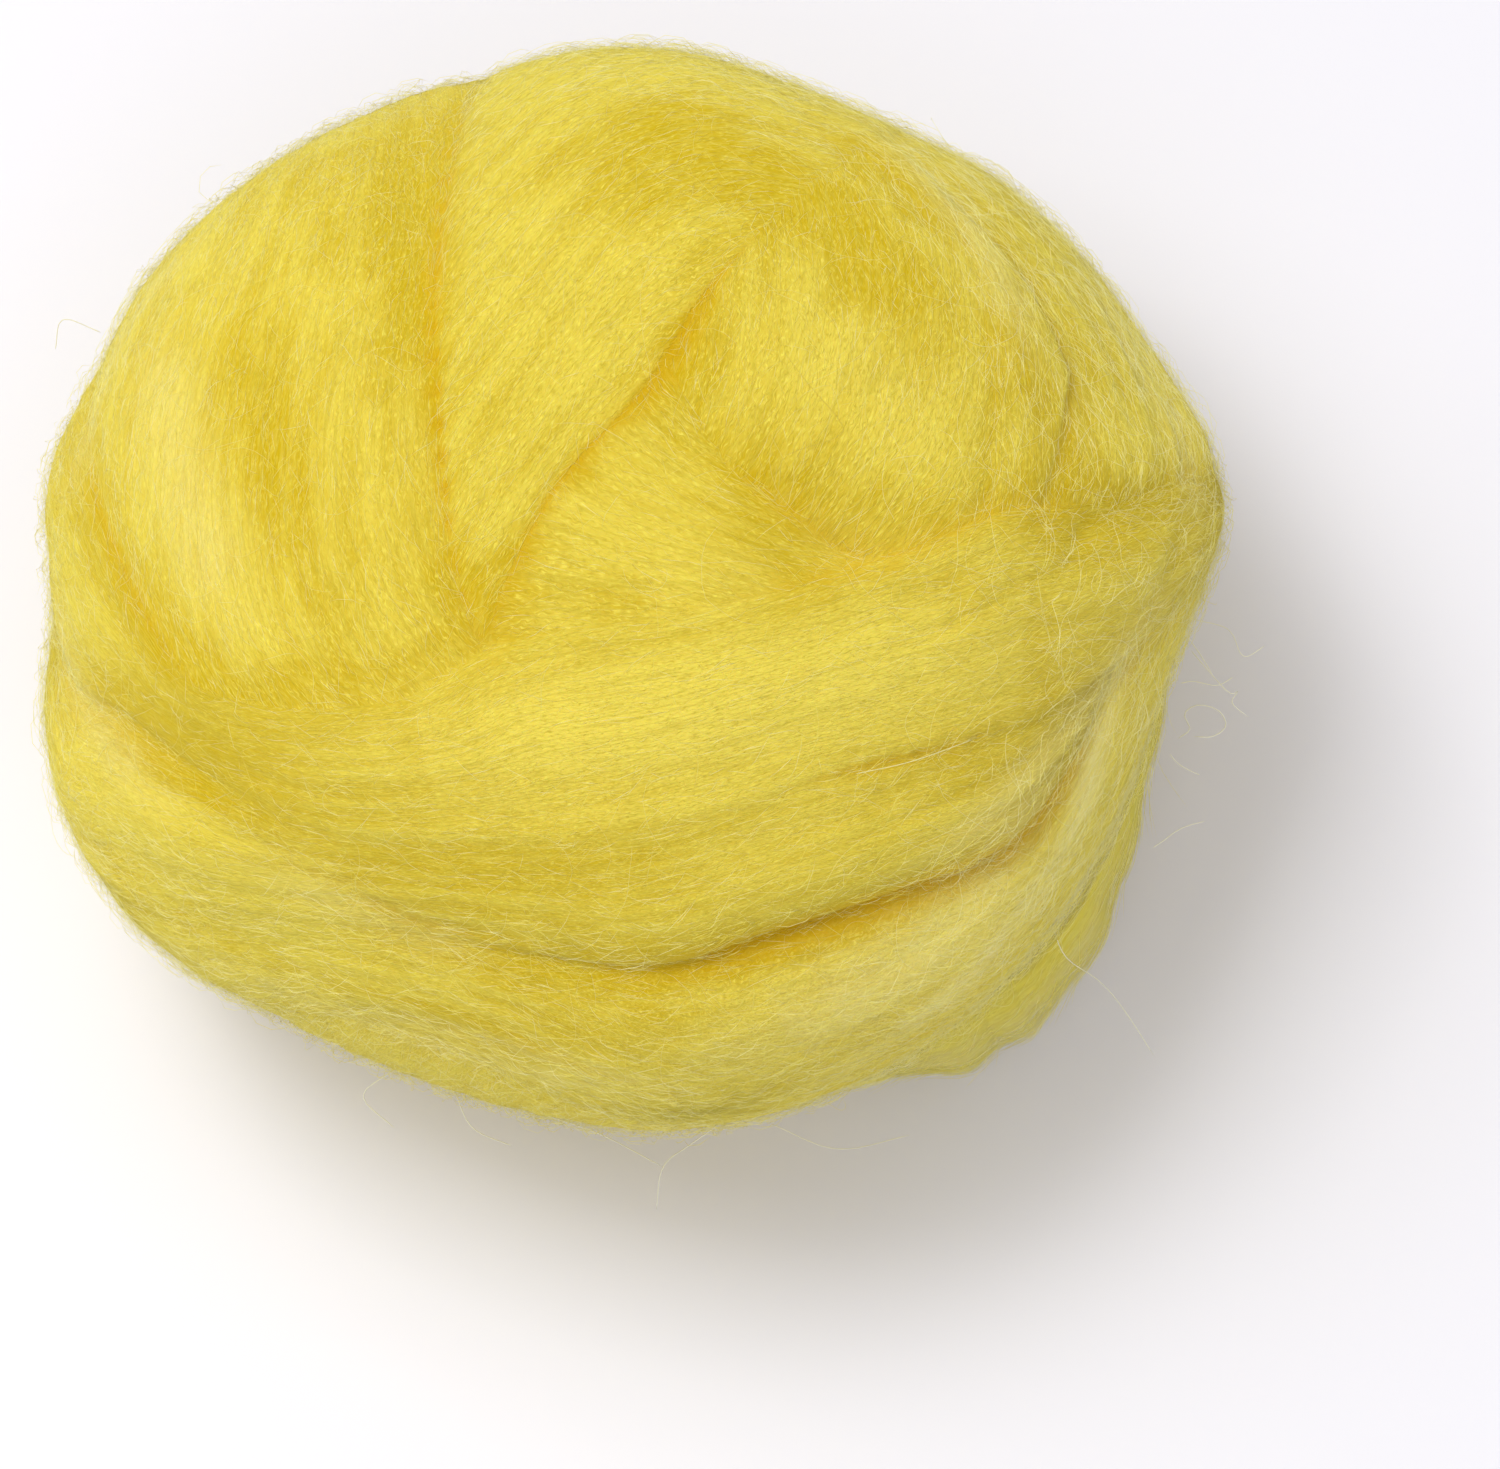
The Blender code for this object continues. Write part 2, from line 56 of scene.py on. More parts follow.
# Edges of the wraps, as seen along the line of sight. Walking along a line, its plus side is on the left.
# right mm, up mm, step mm, hollow mm
LAPS = {
    "girdle_top": (
        (-81, 27.4, 0.3, 0.4), (-79.6, 15.5, 0.3, 0.8), (-76, 4, 0.2, 1.3), (-69, -8, 0.2, 1.4),
        (-62, -15, 0.2, 1.1), (-53, -18, 0.3, 0.8), (-44, -18.9, 0.5, 0.8), (-30, -17, 0.7, 0.8),
        (-20, -11, 1.0, 0.8), (-8, -8, 1.0, 0.6), (10, -5, 1.2, 0.8), (24, -1.6, 1.4, 1.2),
        (33, 1.3, 1.4, 1.2), (42, 4.1, 0.8, 0.8), (54, 9.3, 0.5, 0.6), (68, 11.4, 0.8, 1.6), (83.6, 16, 0.6, 1.0),
    ),
    "girdle_bottom": (
        (-85, -8, 0.5, 1.0), (-79, -16, 0.7, 1.6), (-72, -19.5, 0.6, 2.0), (-62, -26, 0.4, 2.0),
        (-54, -30.6, 0.2, 1.4), (-45, -35, 0.2, 0.6), (-35, -37.5, 0.2, 0.3), (-12.6, -38, 0.2, 0.3),
        (2, -36.4, 0.1, 0.2), (15.5, -33, 0.1, 0.2), (26, -29.5, 0.3, 0.4), (39, -26.6, 0.5, 0.6),
        (50, -24.4, 0.4, 0.6), (61.4, -21.2, 0.2, 0.4), (72, -15.5, 0.2, 0.4), (81, -8, 0.2, 0.4),
    ),
    "second_bottom": (
        (-85, -23, 0.1, 0.2), (-81, -33, 0.1, 0.2), (-74.7, -40, 0.1, 0.3), (-64, -44, 0.1, 0.3),
        (-50, -47.5, 0.2, 0.3), (-35, -51, 0.4, 0.6), (-23, -53.5, 0.8, 1.0), (-11, -55.5, 1.2, 1.5),
        (0, -56.6, 2.0, 1.8), (10, -55.6, 2.8, 2.2), (20, -52.8, 3.2, 2.4), (32, -49.6, 3.2, 2.4),
        (42, -46.6, 3.0, 2.2), (52, -44, 2.4, 2.0), (60, -40, 1.8, 1.6), (67, -32.6, 1.0, 1.2),
        (72, -24.4, 0.5, 0.8),
    ),
    "third_bottom": (
        (-80, -47, 0.4, 0.5), (-72, -54, 0.8, 1.0), (-57, -61.4, 1.0, 1.2), (-42, -64.8, 1.0, 1.2),
        (-27, -69, 0.8, 1.0), (-12, -76, 0.4, 0.5),
    ),
    "fan_left": (
        (-24.4, 72.5, 1.0, 0.9), (-26.6, 63, 1.2, 0.9), (-27.7, 52.5, 1.2, 0.9), (-28, 40.7, 1.0, 0.8),
        (-27, 27.4, 0.8, 0.7), (-26.2, 17.3, 0.7, 0.6), (-25, 5.2, 0.6, 0.6), (-23, -3.7, 0.6, 0.7),
        (-20.4, -10.4, 0.6, 0.9),
    ),
    "fan_right": (
        (-20, -10, 0.6, 0.8), (-17.2, -1.8, 0.9, 0.9), (-11.7, 9.6, 1.2, 1.0), (-5.2, 18.2, 1.3, 1.1),
        (3, 27, 1.2, 1.1), (11.2, 40, 0.8, 0.8), (17.8, 47.8, 0.4, 0.5), (24.4, 55.2, 0.1, 0.2),
        (31.8, 62.2, 0.1, 0.2),
    ),
    "dome_right": (
        (60, 12.6, 0.2, 0.4), (62, 18.2, 0.3, 0.7), (64, 25.2, 0.5, 0.9), (64.7, 30.6, 0.6, 1.0),
        (62.3, 37.3, 0.4, 0.7), (57, 47, 0.3, 0.5), (47.7, 56.2, 0.4, 0.6), (40, 64.4, 0.8, 0.8),
        (32, 69.6, 0.4, 0.5),
    ),
    "dome_fold": (
        (52, 14, 0.1, 0.2), (52.5, 23, 0.6, 0.5), (52, 33.3, 0.6, 0.5), (50.3, 42, 0.4, 0.4), (45, 51, 0.1, 0.2),
    ),
    "dome_low": (
        (4, 33, 0.1, 0.2), (8, 27, 0.5, 0.5), (11, 21.4, 1.0, 0.8), (15, 15.8, 1.3, 0.9), (21.6, 11, 1.2, 0.9),
        (28.7, 6.2, 1.0, 1.0), (36.3, 2.2, 0.8, 1.0), (45, -2, 0.3, 0.4),
    ),
}

# Edges of the wraps at the back and underneath: circles about a pole.
# pole's turn and tilt in degrees, circle's distance from the pole's equator, step mm, hollow mm
CIRCLES = {
    "back_low_top": (75, 66, -8, 1.2, 1.4),
    "back_low_bottom": (75, 66, -37, 1.0, 1.2),
    "back_cross_top": (140, 30, 15, 1.4, 1.4),
    "back_cross_bottom": (140, 30, -16, 1.2, 1.4),
    "under_top": (25, 12, 17, 1.0, 1.0),
    "under_bottom": (25, 12, -15, 1.0, 1.0),
}

# The way the fibres run where it was read off: right mm, up mm, degrees from the right.
COMBED = {
    "left": (
        (-28.9, 57, 90), (-39.2, 27.4, 90), (-49.6, 49.6, 85), (-71.8, 27.4, 72), (-64.4, 5.2, 95),
        (-49.6, -8.1, 120), (-34.8, -15.5, 135), (-28.9, 3.7, 97),
    ),
    "fan": (
        (-17, 30.3, 50), (-5.8, 68.2, 25), (3.7, 48.1, 43), (-22.9, 3.7, 60), (-20, 57, 50), (21.5, 62.9, -5),
    ),
    "dome": (
        (15.5, 27.4, 80), (28.9, 18.5, 60), (36.3, 9.6, 55), (21.5, 45.1, 85), (42.2, 37.7, 92), (33.3, 59.9, 110),
    ),
    "fold": ((51, 30.3, 100), (59.9, 22.9, 90), (48.1, 49.6, 118)),
    "triangle": (
        (2.5, 20.7, 135), (-6.4, 12.9, 145), (-5.2, 3.7, 165), (-2.2, -2.2, 180), (15.5, 3.7, 155),
        (24.4, -0.7, 165),
    ),
}

# Poles that the fibres of the other wraps run round: turn and tilt in degrees.
ROUND_POLE = {
    "core": (22.7, 81.6),
    "girdle": (97, -2.3),
    "under": (25, 12),
    "back_low": (75, 66),
    "back_cross": (140, 30),
}

# The wraps in the order they were wound.
# lay of the fibres, edges with the side of each that the wrap is on, level mm, edge rounding degrees, at the back
WRAPS = (
    ("triangle", (("dome_low", -1),), 0, 0, 0),
    ("dome", (("dome_right", 1), ("dome_low", 1)), 2.2, 4.0, 0),
    ("fold", (("dome_fold", -1), ("dome_right", 1)), 0.4, 3.0, 0),
    ("left", (("fan_left", -1), ("girdle_top", 1)), 1.0, 6.0, 0),
    ("fan", (("fan_left", 1), ("fan_right", 1)), 0.8, 2.5, 0),
    ("band", (("third_bottom", 1), ("second_bottom", -1)), 0.8, 5.0, 0),
    ("band", (("girdle_bottom", -1), ("second_bottom", 1)), 1.6, 5.0, 0),
    ("band", (("girdle_top", -1), ("girdle_bottom", 1)), 1.6, 3.5, 0),
    ("under", (("under_top", -1), ("under_bottom", 1)), 1.0, 4.0, 1),
    ("back_low", (("back_low_top", -1), ("back_low_bottom", 1)), 1.4, 4.0, 1),
    ("back_cross", (("back_cross_top", -1), ("back_cross_bottom", 1)), 1.4, 4.0, 1),
)

# Swellings and hollows that no lap makes.
# right mm, up mm, half-width mm, half-length mm, turn degrees, height mm
SWELLS = (
    (-61, -35.5, 6, 20, -38, 2.0),
    (-33, 56, 5, 18, 95, -1.6),
    (28, 5, 5, 12, 20, -1.2),
    (72, 8, 4, 9, 10, -2.0),
    (38, 66, 5, 12, -40, 2.0),
    (25, -62, 5, 30, 10, 1.0),
    (32, 4, 2.2, 5, -12, -1.6),
    (66, 6, 1.6, 5, 60, -0.6),
    (73, 11, 1.6, 6, 30, -0.6),
    (80, 2, 1.6, 6, 75, -1.0),
)

# Fine creases between locks of a wrap: width mm, depth mm, then right mm and up mm along it. A depth below nothing
# is a groove between two wraps that their fibres fill up.
CREASES = (
    (1.6, 0.45, (-44, -36), (-12, -38), (15.5, -33.5)),
    (1.4, 0.5, (26, -28), (39, -26.6), (61, -21.5)),
    (1.6, 0.7, (-58, -32), (-44, -42), (-31, -49.5), (-18, -52.5)),
    (1.0, 0.5, (-25, 66), (-27.7, 52.5), (-28, 40), (-26.2, 17), (-23, -3), (-20.5, -9)),
    (1.6, 0.6, (-22.5, -1), (-20.5, -9), (-19, -14)),
    (1.2, 0.35, (-41, -46.6), (-32, -52)),
    (1.2, 0.4, (8, -59), (33, -60)),
    (1.2, 0.35, (-2, -68), (21, -68)),
    (1.4, 0.5, (-78, -12), (-60, -22), (-46, -31)),
    (1.2, 0.3, (-66, 40), (-67, 20), (-60, 0)),
    (1.2, 0.3, (-35, 62), (-36, 30), (-34, 5)),
    (1.2, 0.35, (30, -12), (52, -6), (74, 0)),
    (1.2, 0.3, (-10, -20), (20, -17), (55, -9)),
    (1.2, 0.4, (70, 45), (76, 28), (78, 14)),
    (1.2, 0.35, (56, 60), (68, 44), (73, 28)),
    (4.0, -0.9, (-60, -28), (-45, -35), (-12.6, -38), (15.5, -33), (39, -26.6), (56, -22)),
    (3.0, -0.8, (-82, -30), (-74.7, -40), (-62, -44.5), (-45, -48.5), (-32, -51.5)),
    (3.5, -0.5, (-20, -11), (-8, -8), (10, -5), (24, -1.6)),
    (3.0, -0.5, (-60, -61), (-42, -64.8), (-27, -69), (-12, -75)),
    (2.6, -0.6, (60, 14), (64, 25), (64.7, 32), (60, 42)),
)

# The widest line round the ball, as seen: bearing degrees from the right, radius mm
OUTLINE = (
    (0, 84.8), (10, 90.6), (24.5, 84.7), (39, 83.3), (47.6, 82.3), (54.7, 81.8), (62, 78.1), (72.8, 77.6),
    (78.7, 79.5), (86, 80.2), (93.7, 79.5), (102.5, 78.4), (110.7, 77.3), (119, 80.4), (126, 81.7), (133.5, 82.9),
    (141, 84.2), (149, 85.2), (156, 85.8), (168, 87.3), (174, 86.7), (181.5, 85.8), (189, 88.4), (193, 88.9),
    (199, 90.1), (205, 90.6), (211.5, 90.3), (220, 88.5), (228, 83.8), (237, 81.3), (248.5, 79.2), (257.6, 79.6),
    (266, 79.8), (275, 82.0), (283, 80.8), (295, 79.8), (307, 79.9), (325, 79.0), (337, 78.9), (351, 79.9),
)


def unit(vectors):
    return vectors / np.linalg.norm(vectors, axis=-1, keepdims=True)


def ease(low, high, value):
    t = np.clip((value - low) / (high - low), 0, 1)
    return t * t * (3 - 2 * t)


def seen_from_ball(points):
    """Turns directions on the ball into right, up and toward, as looked at along the line of sight."""
    up = points[:, 1] * SINE + points[:, 2] * COSINE
    toward = points[:, 2] * SINE - points[:, 1] * COSINE
    return np.stack((points[:, 0], up, toward), 1)


def ball_from_seen(seen):
    forward = seen[:, 1] * SINE - seen[:, 2] * COSINE
    upward = seen[:, 1] * COSINE + seen[:, 2] * SINE
    return np.stack((seen[:, 0], forward, upward), 1)


RIM = 0.998             # how far out a place on the seen side may lie


def direction(right, up):
    """The direction on the ball of a place measured in mm on the side that is seen."""
    x, y = right / HALF_WIDE, up / SEEN_TALL
    inwards = min(1, RIM / math.hypot(x, y))
    x, y = x * inwards, y * inwards
    toward = math.sqrt(1 - x * x - y * y)
    return ball_from_seen(np.array(((x, y, toward),)))[0]


CURVE_STEPS = (0, 0.25, 0.5, 0.75)
FINE_STEPS = (0, 0.2, 0.4, 0.6, 0.8)


def smooth_line(knots, steps=CURVE_STEPS):
    """A smooth curve through rows of numbers."""
    knots = np.vstack((2 * knots[0] - knots[1], knots, 2 * knots[-1] - knots[-2]))
    rows = []
    for a, b, c, d in zip(knots[:-3], knots[1:-2], knots[2:-1], knots[3:]):
        for t in steps:
            square = (2 * a - 5 * b + 4 * c - d) * t * t
            cube = (3 * b - a - 3 * c + d) * t ** 3
            rows.append(0.5 * (2 * b + (c - a) * t + square + cube))
    rows.append(knots[-2])
    return np.array(rows)


# A lap that ends on the seen side runs on round the ball and fades: from, to, step and fade in degrees.
RUN_ON, RUN_ON_FADE = (2, 90, 3), 40.0


def run_on(line, turn):
    """A line's last stretch carried on round the ball."""
    onwards = line[-1] - line[-4]
    onwards = unit(onwards - line[-1] * (onwards @ line[-1]))
    return np.cos(turn) * line[-1] + np.sin(turn) * onwards


def lap_line(marks):
    """A smooth line through the marks, run on at both ends, with its plus side and its depths."""
    rows = smooth_line(np.array([np.append(direction(right, up), depths) for right, up, *depths in marks]))
    line = unit(rows[:, :3])
    depths = np.clip(rows[:, 3:], 0, None)
    turn = np.radians(np.arange(*RUN_ON))[:, None]
    fade = np.exp(-(turn / math.radians(RUN_ON_FADE)) ** 2)
    depths = np.vstack((depths[0] * fade[::-1], depths, depths[-1] * fade))
    line = np.vstack((run_on(line[::-1], turn)[::-1], line, run_on(line, turn)))
    return line, unit(np.cross(line, np.gradient(line, axis=0))), depths


def pole_of(turn, tilt):
    a, b = math.radians(turn), math.radians(tilt)
    return np.array((math.cos(b) * math.cos(a), math.cos(b) * math.sin(a), math.sin(b)))


def across_pole(pole):
    first = unit(np.cross(pole, (0.3, -0.2, 1.0)))
    return first, np.cross(pole, first)


CIRCLE_STEP = 4.0       # degrees between a circle's places


def circle_line(turn, tilt, distance, step, hollow):
    """A circle round the ball, with its plus side towards the pole."""
    pole = pole_of(turn, tilt)
    d = math.radians(distance)
    first, second = across_pole(pole)
    around = np.radians(np.arange(0, 360, CIRCLE_STEP))[:, None]
    flat = np.cos(around) * first + np.sin(around) * second
    line = math.cos(d) * flat + math.sin(d) * pole
    plus = math.cos(d) * pole - math.sin(d) * flat
    return line, plus, np.tile((step, hollow), (len(line), 1))


NEARBY = 0.0004         # how sharply the nearest stretch of a line outweighs the rest


def beside(line, points):
    """Degrees to the plus side of a line, and the step and hollow of its nearest stretch."""
    places, plus, depths = line
    near = points @ places.T
    weight = np.exp((near - near.max(1, keepdims=True)) / NEARBY)
    weight /= weight.sum(1, keepdims=True)
    away = np.degrees(np.arcsin(np.clip(points @ plus.T, -1, 1)))
    return (weight * away).sum(1), weight @ depths


LAY_RADIUS = 80.0       # mm of wool to a radian round the ball


def distance_to(marks, points):
    """Millimetres to a short line through the marks, and how far along it that is, from 0 to 1."""
    line = unit(smooth_line(np.array([direction(right, up) for right, up in marks]), FINE_STEPS))
    near = points @ line.T
    where = near.argmax(1)
    return np.arccos(np.clip(near.max(1), -1, 1)) * LAY_RADIUS, where / (len(line) - 1)


def bends(points):
    """The simple shapes that a lay of fibres over the ball is made up from."""
    x, y, z = points.T
    return np.stack((x, y, z, x * y, y * z, z * x, x * x - y * y, z * z), 1)


def bend_slopes(point):
    x, y, z = point
    return np.array((
        (1, 0, 0), (0, 1, 0), (0, 0, 1), (y, x, 0), (0, z, y), (z, 0, x), (2 * x, -2 * y, 0), (0, 0, 2 * z),
    ))


# How much a lay heeds an even spacing across its fibres, and how much it is kept plain, against their angles.
SIDE_PULL, PLAIN_PULL = 0.4, 0.12


def comb(marks):
    """Along and across coordinates whose fibres run as the marks say, as shares of the simple shapes."""
    rows, wanted = [], []
    for right, up, angle in marks:
        place = direction(right, up)
        x, y, z = seen_from_ball(place[None])[0]
        a = math.radians(angle)
        seen = np.array((math.cos(a) / HALF_WIDE, math.sin(a) / SEEN_TALL, 0))
        seen[2] = -(x * seen[0] + y * seen[1]) / z
        fibre = unit(ball_from_seen(seen[None])[0])
        slopes = bend_slopes(place)
        rows += [slopes @ fibre, SIDE_PULL * (slopes @ np.cross(place, fibre))]
        wanted += [(1, 0), (0, SIDE_PULL)]
    for plain in PLAIN_PULL * np.eye(8)[3:]:
        rows.append(plain)
        wanted.append((0, 0))
    return np.linalg.lstsq(np.array(rows), np.array(wanted), rcond=None)[0]


def lay_round(pole, points):
    first, second = across_pole(pole)
    around = np.arctan2(points @ second, points @ first)
    return np.stack((around, np.arcsin(np.clip(points @ pole, -1, 1))), 1) * LAY_RADIUS


# Soft flutes along each wrap: height mm, spacing mm, how far each wanders in turns, length of a wander mm
FLUTES = (
    (0.16, 9.7, 0.45, 95),
    (0.08, 5.3, 0.5, 70),
    (0.05, 2.9, 0.6, 48),
)
FLUTE_START, FLUTE_SLANT = 1.7, 23          # turns and mm that keep them out of line
# Each flute rises and falls along its length: least and further share, wanders to a rise, slant mm.
FULL_LEAST, FULL_MORE, FULL_LONG, FULL_SLANT = 0.65, 0.35, 1.6, 11


def flutes(lay):
    along, across = lay.T
    total = 0
    for number, (height, spacing, wander, length) in enumerate(FLUTES):
        drift = wander * np.sin(2 * math.pi * along / length + across / FLUTE_SLANT + FLUTE_START * number)
        full = np.sin(2 * math.pi * along / (FULL_LONG * length) - across / FULL_SLANT + number)
        full = FULL_LEAST + FULL_MORE * full
        total = total + height * full * np.sin(2 * math.pi * (across / spacing + drift))
    return total


LINES = {name: lap_line(marks) for name, marks in LAPS.items()}
LINES.update({name: circle_line(*ring) for name, ring in CIRCLES.items()})

# How the wraps lie over one another, in degrees round the ball.
LAP_SOFT, STEP_RUN, HOLLOW_WIDE, EDGE_BLEND = 0.9, 12.0, 3.0, 1.6
PRESS_WIDE, PRESS_REACH = 2.6, (-22, -6)
LEVEL_RUN, RIPPLE_RUN, BAND_LEAST = (-8, 12), (0, 3), 8
STEP_SHARE, HOLLOW_SHARE = 0.5, 0.6         # how much of a lap shows: the solids' laps stand out more
PRESS_STEP, PRESS_HOLLOW = 0.55, 0.8        # how much of it is pressed into the wrap below
UNDER_SHOWS = 0.12                          # how much of the fluting below shows through
BAND_WIDE = 40.0                            # mm of fibres across a wrap whose lay follows both its edges
# How far toward the eye the front wraps come in, the back ones go out, and the swellings come in.
FRONT, BACK, SWELL_FRONT = (-0.75, -0.3), (-0.3, 0.05), (0, 0.2)
CREASE_ENDS, CREASE_CURVE = (0.02, 0.98), 0.6


def wound_height(points):
    """How far in mm the wraps stand out of the core, each wrap's cover, and where each point lies in each wrap."""
    seen = seen_from_ball(points)
    front = ease(*FRONT, seen[:, 2])
    back = 1 - ease(*BACK, seen[:, 2])
    found = {name: beside(line, points) for name, line in LINES.items()}
    covers = [np.ones(len(points))]
    lays = [lay_round(pole_of(*ROUND_POLE["core"]), points)]
    wide = np.zeros(len(points))
    fine = flutes(lays[0])
    for lay_name, edges, level, width, at_back in WRAPS:
        shown = back if at_back else front
        sides = np.array([side * found[name][0] for name, side in edges])
        inside = sides.min(0)
        if lay_name in COMBED:
            lay = bends(points) @ comb(COMBED[lay_name]) * LAY_RADIUS
        else:
            lay = lay_round(pole_of(*ROUND_POLE.get(lay_name, ROUND_POLE["girdle"])), points)
        if lay_name == "band":
            lay[:, 1] = BAND_WIDE * sides[0] / np.clip(sides.sum(0), BAND_LEAST, None)
        share = np.exp((inside - sides) / EDGE_BLEND)
        share /= share.sum(0)
        step = hollow = 0
        if level:
            for part, (name, _) in zip(share, edges):
                away, depths = found[name]
                step = step + part * depths[:, 0] * STEP_SHARE
                hollow = hollow + depths[:, 1] * HOLLOW_SHARE * np.exp(-np.abs(away) / HOLLOW_WIDE)
        lip = step * ease(-LAP_SOFT, width + LAP_SOFT, inside) * np.exp(-np.clip(inside, 0, None) / STEP_RUN)
        under = (1 - UNDER_SHOWS) * wide + UNDER_SHOWS * fine
        ripple = flutes(lay) * ease(*RIPPLE_RUN, inside)
        here = under + level * ease(0, LEVEL_RUN[1], inside) + lip - hollow + ripple
        pressed = PRESS_STEP * step * np.exp(-(inside / PRESS_WIDE) ** 2) + PRESS_HOLLOW * hollow
        pressed = pressed * ease(*PRESS_REACH, inside)
        cover = ease(-LAP_SOFT, LAP_SOFT, inside) * shown
        fine = (fine - pressed * shown) * (1 - cover) + here * cover
        wide = wide + level * ease(*LEVEL_RUN, inside) * shown
        covers.append(cover)
        lays.append(lay)
    for right, up, across, along, turn, height in SWELLS:
        a = math.radians(turn)
        dx = seen[:, 0] * HALF_WIDE - right
        dy = seen[:, 1] * SEEN_TALL - up
        run = (dx * math.cos(a) + dy * math.sin(a)) / along
        rise = (dy * math.cos(a) - dx * math.sin(a)) / across
        fine = fine + height * np.exp(-run ** 2 - rise ** 2) * ease(*SWELL_FRONT, seen[:, 2])
    for width, depth, *marks in CREASES:
        away, along = distance_to(marks, points)
        full = np.sin(np.clip(along, *CREASE_ENDS) * math.pi) ** CREASE_CURVE
        fine = fine - depth * np.exp(-(away / width) ** 2) * full
    return fine, wide, np.array(covers), np.array(lays)


OUTLINE_SPREAD = (-6, -3, 0, 3, 6)          # degrees over which the outline is smoothed


def outline_share(bearings):
    """The outline's radius at each bearing, over that of a plain oval."""
    marks = np.array(OUTLINE)
    turn = np.radians(marks[:, 0])
    oval = 1 / np.hypot(np.cos(turn) / HALF_WIDE, np.sin(turn) / SEEN_TALL)
    share = marks[:, 1] / oval
    smoothed = [np.interp(bearings + turn, marks[:, 0], share, period=360) for turn in OUTLINE_SPREAD]
    return np.mean(smoothed, axis=0)


def points_of(mesh):
    points = np.empty(len(mesh.vertices) * 3)
    mesh.vertices.foreach_get("co", points)
    return points.reshape(-1, 3)


bpy.ops.object.select_all(action="DESELECT")
bpy.ops.mesh.primitive_cube_add(size=2)
ball = bpy.context.active_object
ball.name = "wound_wool"
bpy.ops.object.mode_set(mode="EDIT")
bpy.ops.mesh.select_all(action="SELECT")
for cuts in BALL_CUTS:
    bpy.ops.mesh.subdivide(number_cuts=cuts)
bpy.ops.object.mode_set(mode="OBJECT")

round_points = unit(np.tan(points_of(ball.data) * math.pi / 4))
raised, level_raised, covers, lays = wound_height(round_points)
seen_points = seen_from_ball(round_points)
bearings = np.degrees(np.arctan2(seen_points[:, 1], seen_points[:, 0]))
widened = 1 + (outline_share(bearings) - 1) * (1 - seen_points[:, 2] ** 2)
ball_size = np.array((HALF_WIDE, HALF_DEEP, HALF_HIGH)) - SKIN
ball_skin = round_points * ball_size * widened[:, None] + unit(round_points / ball_size) * raised[:, None]
over_floor = ball_skin[:, 2] - (SETTLE - HALF_HIGH)
settled = np.where(over_floor > SETTLE_SOFT, over_floor, np.clip((over_floor + SETTLE_SOFT) / 2, 0, None))
ball_skin[:, 2] = SETTLE - HALF_HIGH + settled
ball_skin = (ball_skin - PART_ORIGIN) * MM
ball.data.vertices.foreach_set("co", ball_skin.ravel())
ball.data.update()
ball.data.shade_smooth()

# Each face takes the lay of the wrap on top there, and of the one that it lies on.
COVER_STARTS, COVER_FULL = 0.02, 0.5
face_count = len(ball.data.polygons)
loop_points = np.empty(face_count * 4, dtype=np.int32)
ball.data.loops.foreach_get("vertex_index", loop_points)
corner_cover = covers[:, loop_points].reshape(len(covers), face_count, 4)
over_wrap = len(covers) - 1 - (corner_cover.max(2) > COVER_STARTS)[::-1].argmax(0)
lower = (corner_cover.mean(2) > COVER_FULL) & (np.arange(len(covers))[:, None] < over_wrap)
lower[0] = True
under_wrap = len(covers) - 1 - lower[::-1].argmax(0)


def corner_lay(wrap):
    """Where a face's corners lie in its wrap, with no jump where the way round the ball starts again."""
    lay = lays[np.repeat(wrap, 4), loop_points].reshape(face_count, 4, 2)
    whole = 2 * math.pi * LAY_RADIUS
    lay[:, :, 0] -= whole * np.round((lay[:, :, 0] - lay[:, :1, 0]) / whole)
    return lay


over_lay, under_lay = corner_lay(over_wrap), corner_lay(under_wrap)
over_share = corner_cover[over_wrap, np.arange(face_count)]


def store(mesh, name, values, domain="POINT", kind="FLOAT"):
    attribute = mesh.attributes.new(name, kind, domain)
    attribute.data.foreach_set("vector" if kind == "FLOAT_VECTOR" else "value", values.astype(np.float32).ravel())


# Painted shade: the colour is darkened down in the laps, fully at this many mm down.
CREASE_SHADE_DEEP = 2.5         # mm down in a lap where a point counts as wholly tucked in
for name, lay in (("over_lay", over_lay), ("under_lay", under_lay)):
    store(ball.data, name, np.pad(lay, ((0, 0), (0, 0), (0, 1))), "CORNER", "FLOAT_VECTOR")
store(ball.data, "over_share", over_share, "CORNER")
# How far down in a lap each point lies, which darkens the colour there: painted shade.
store(ball.data, "crease_shade", np.clip((level_raised - raised) / CREASE_SHADE_DEEP, 0, 1))

# Places where thin, disordered fibres make the wool paler, and on the lower right also painted light: half-width
# mm, strength, then right mm and up mm.
PALE_AND_LIT_PLACES = (
    # The first two rows, on the lower right, are partly painted light.
    (5.5, 0.8, (31.8, -71.8), (54, -55.5), (68.8, -39.2), (74.7, -20), (80, -5.2)),
    (10.0, 0.50, (20, -66), (50, -50), (68, -26)),
    (4.5, 0.40, (80, -10), (73, -18), (65, -26), (56, -34), (44, -42)),
    (4.5, 0.35, (38, 66), (47, 56), (53, 46), (57, 34)),
    (5.0, 0.3, (70, 44), (79, 26), (83, 8)),
    (4.0, 0.35, (-82, 15), (-76, 34), (-65, 49)),
    (4.0, 0.3, (-57, -55), (-29, -69), (0, -73)),
    (6.0, 0.3, (-70, 34), (-66, 22), (-62, 8), (-57, -4)),
    (3.5, 0.35, (-85, -4), (-81.7, -12.6), (-76, -20), (-64, -30)),
    (4.0, 0.25, (-50, -40), (-36, -49), (-22, -55)),
    (3.0, 0.25, (-40, -64), (-16, -68), (10, -73)),
)
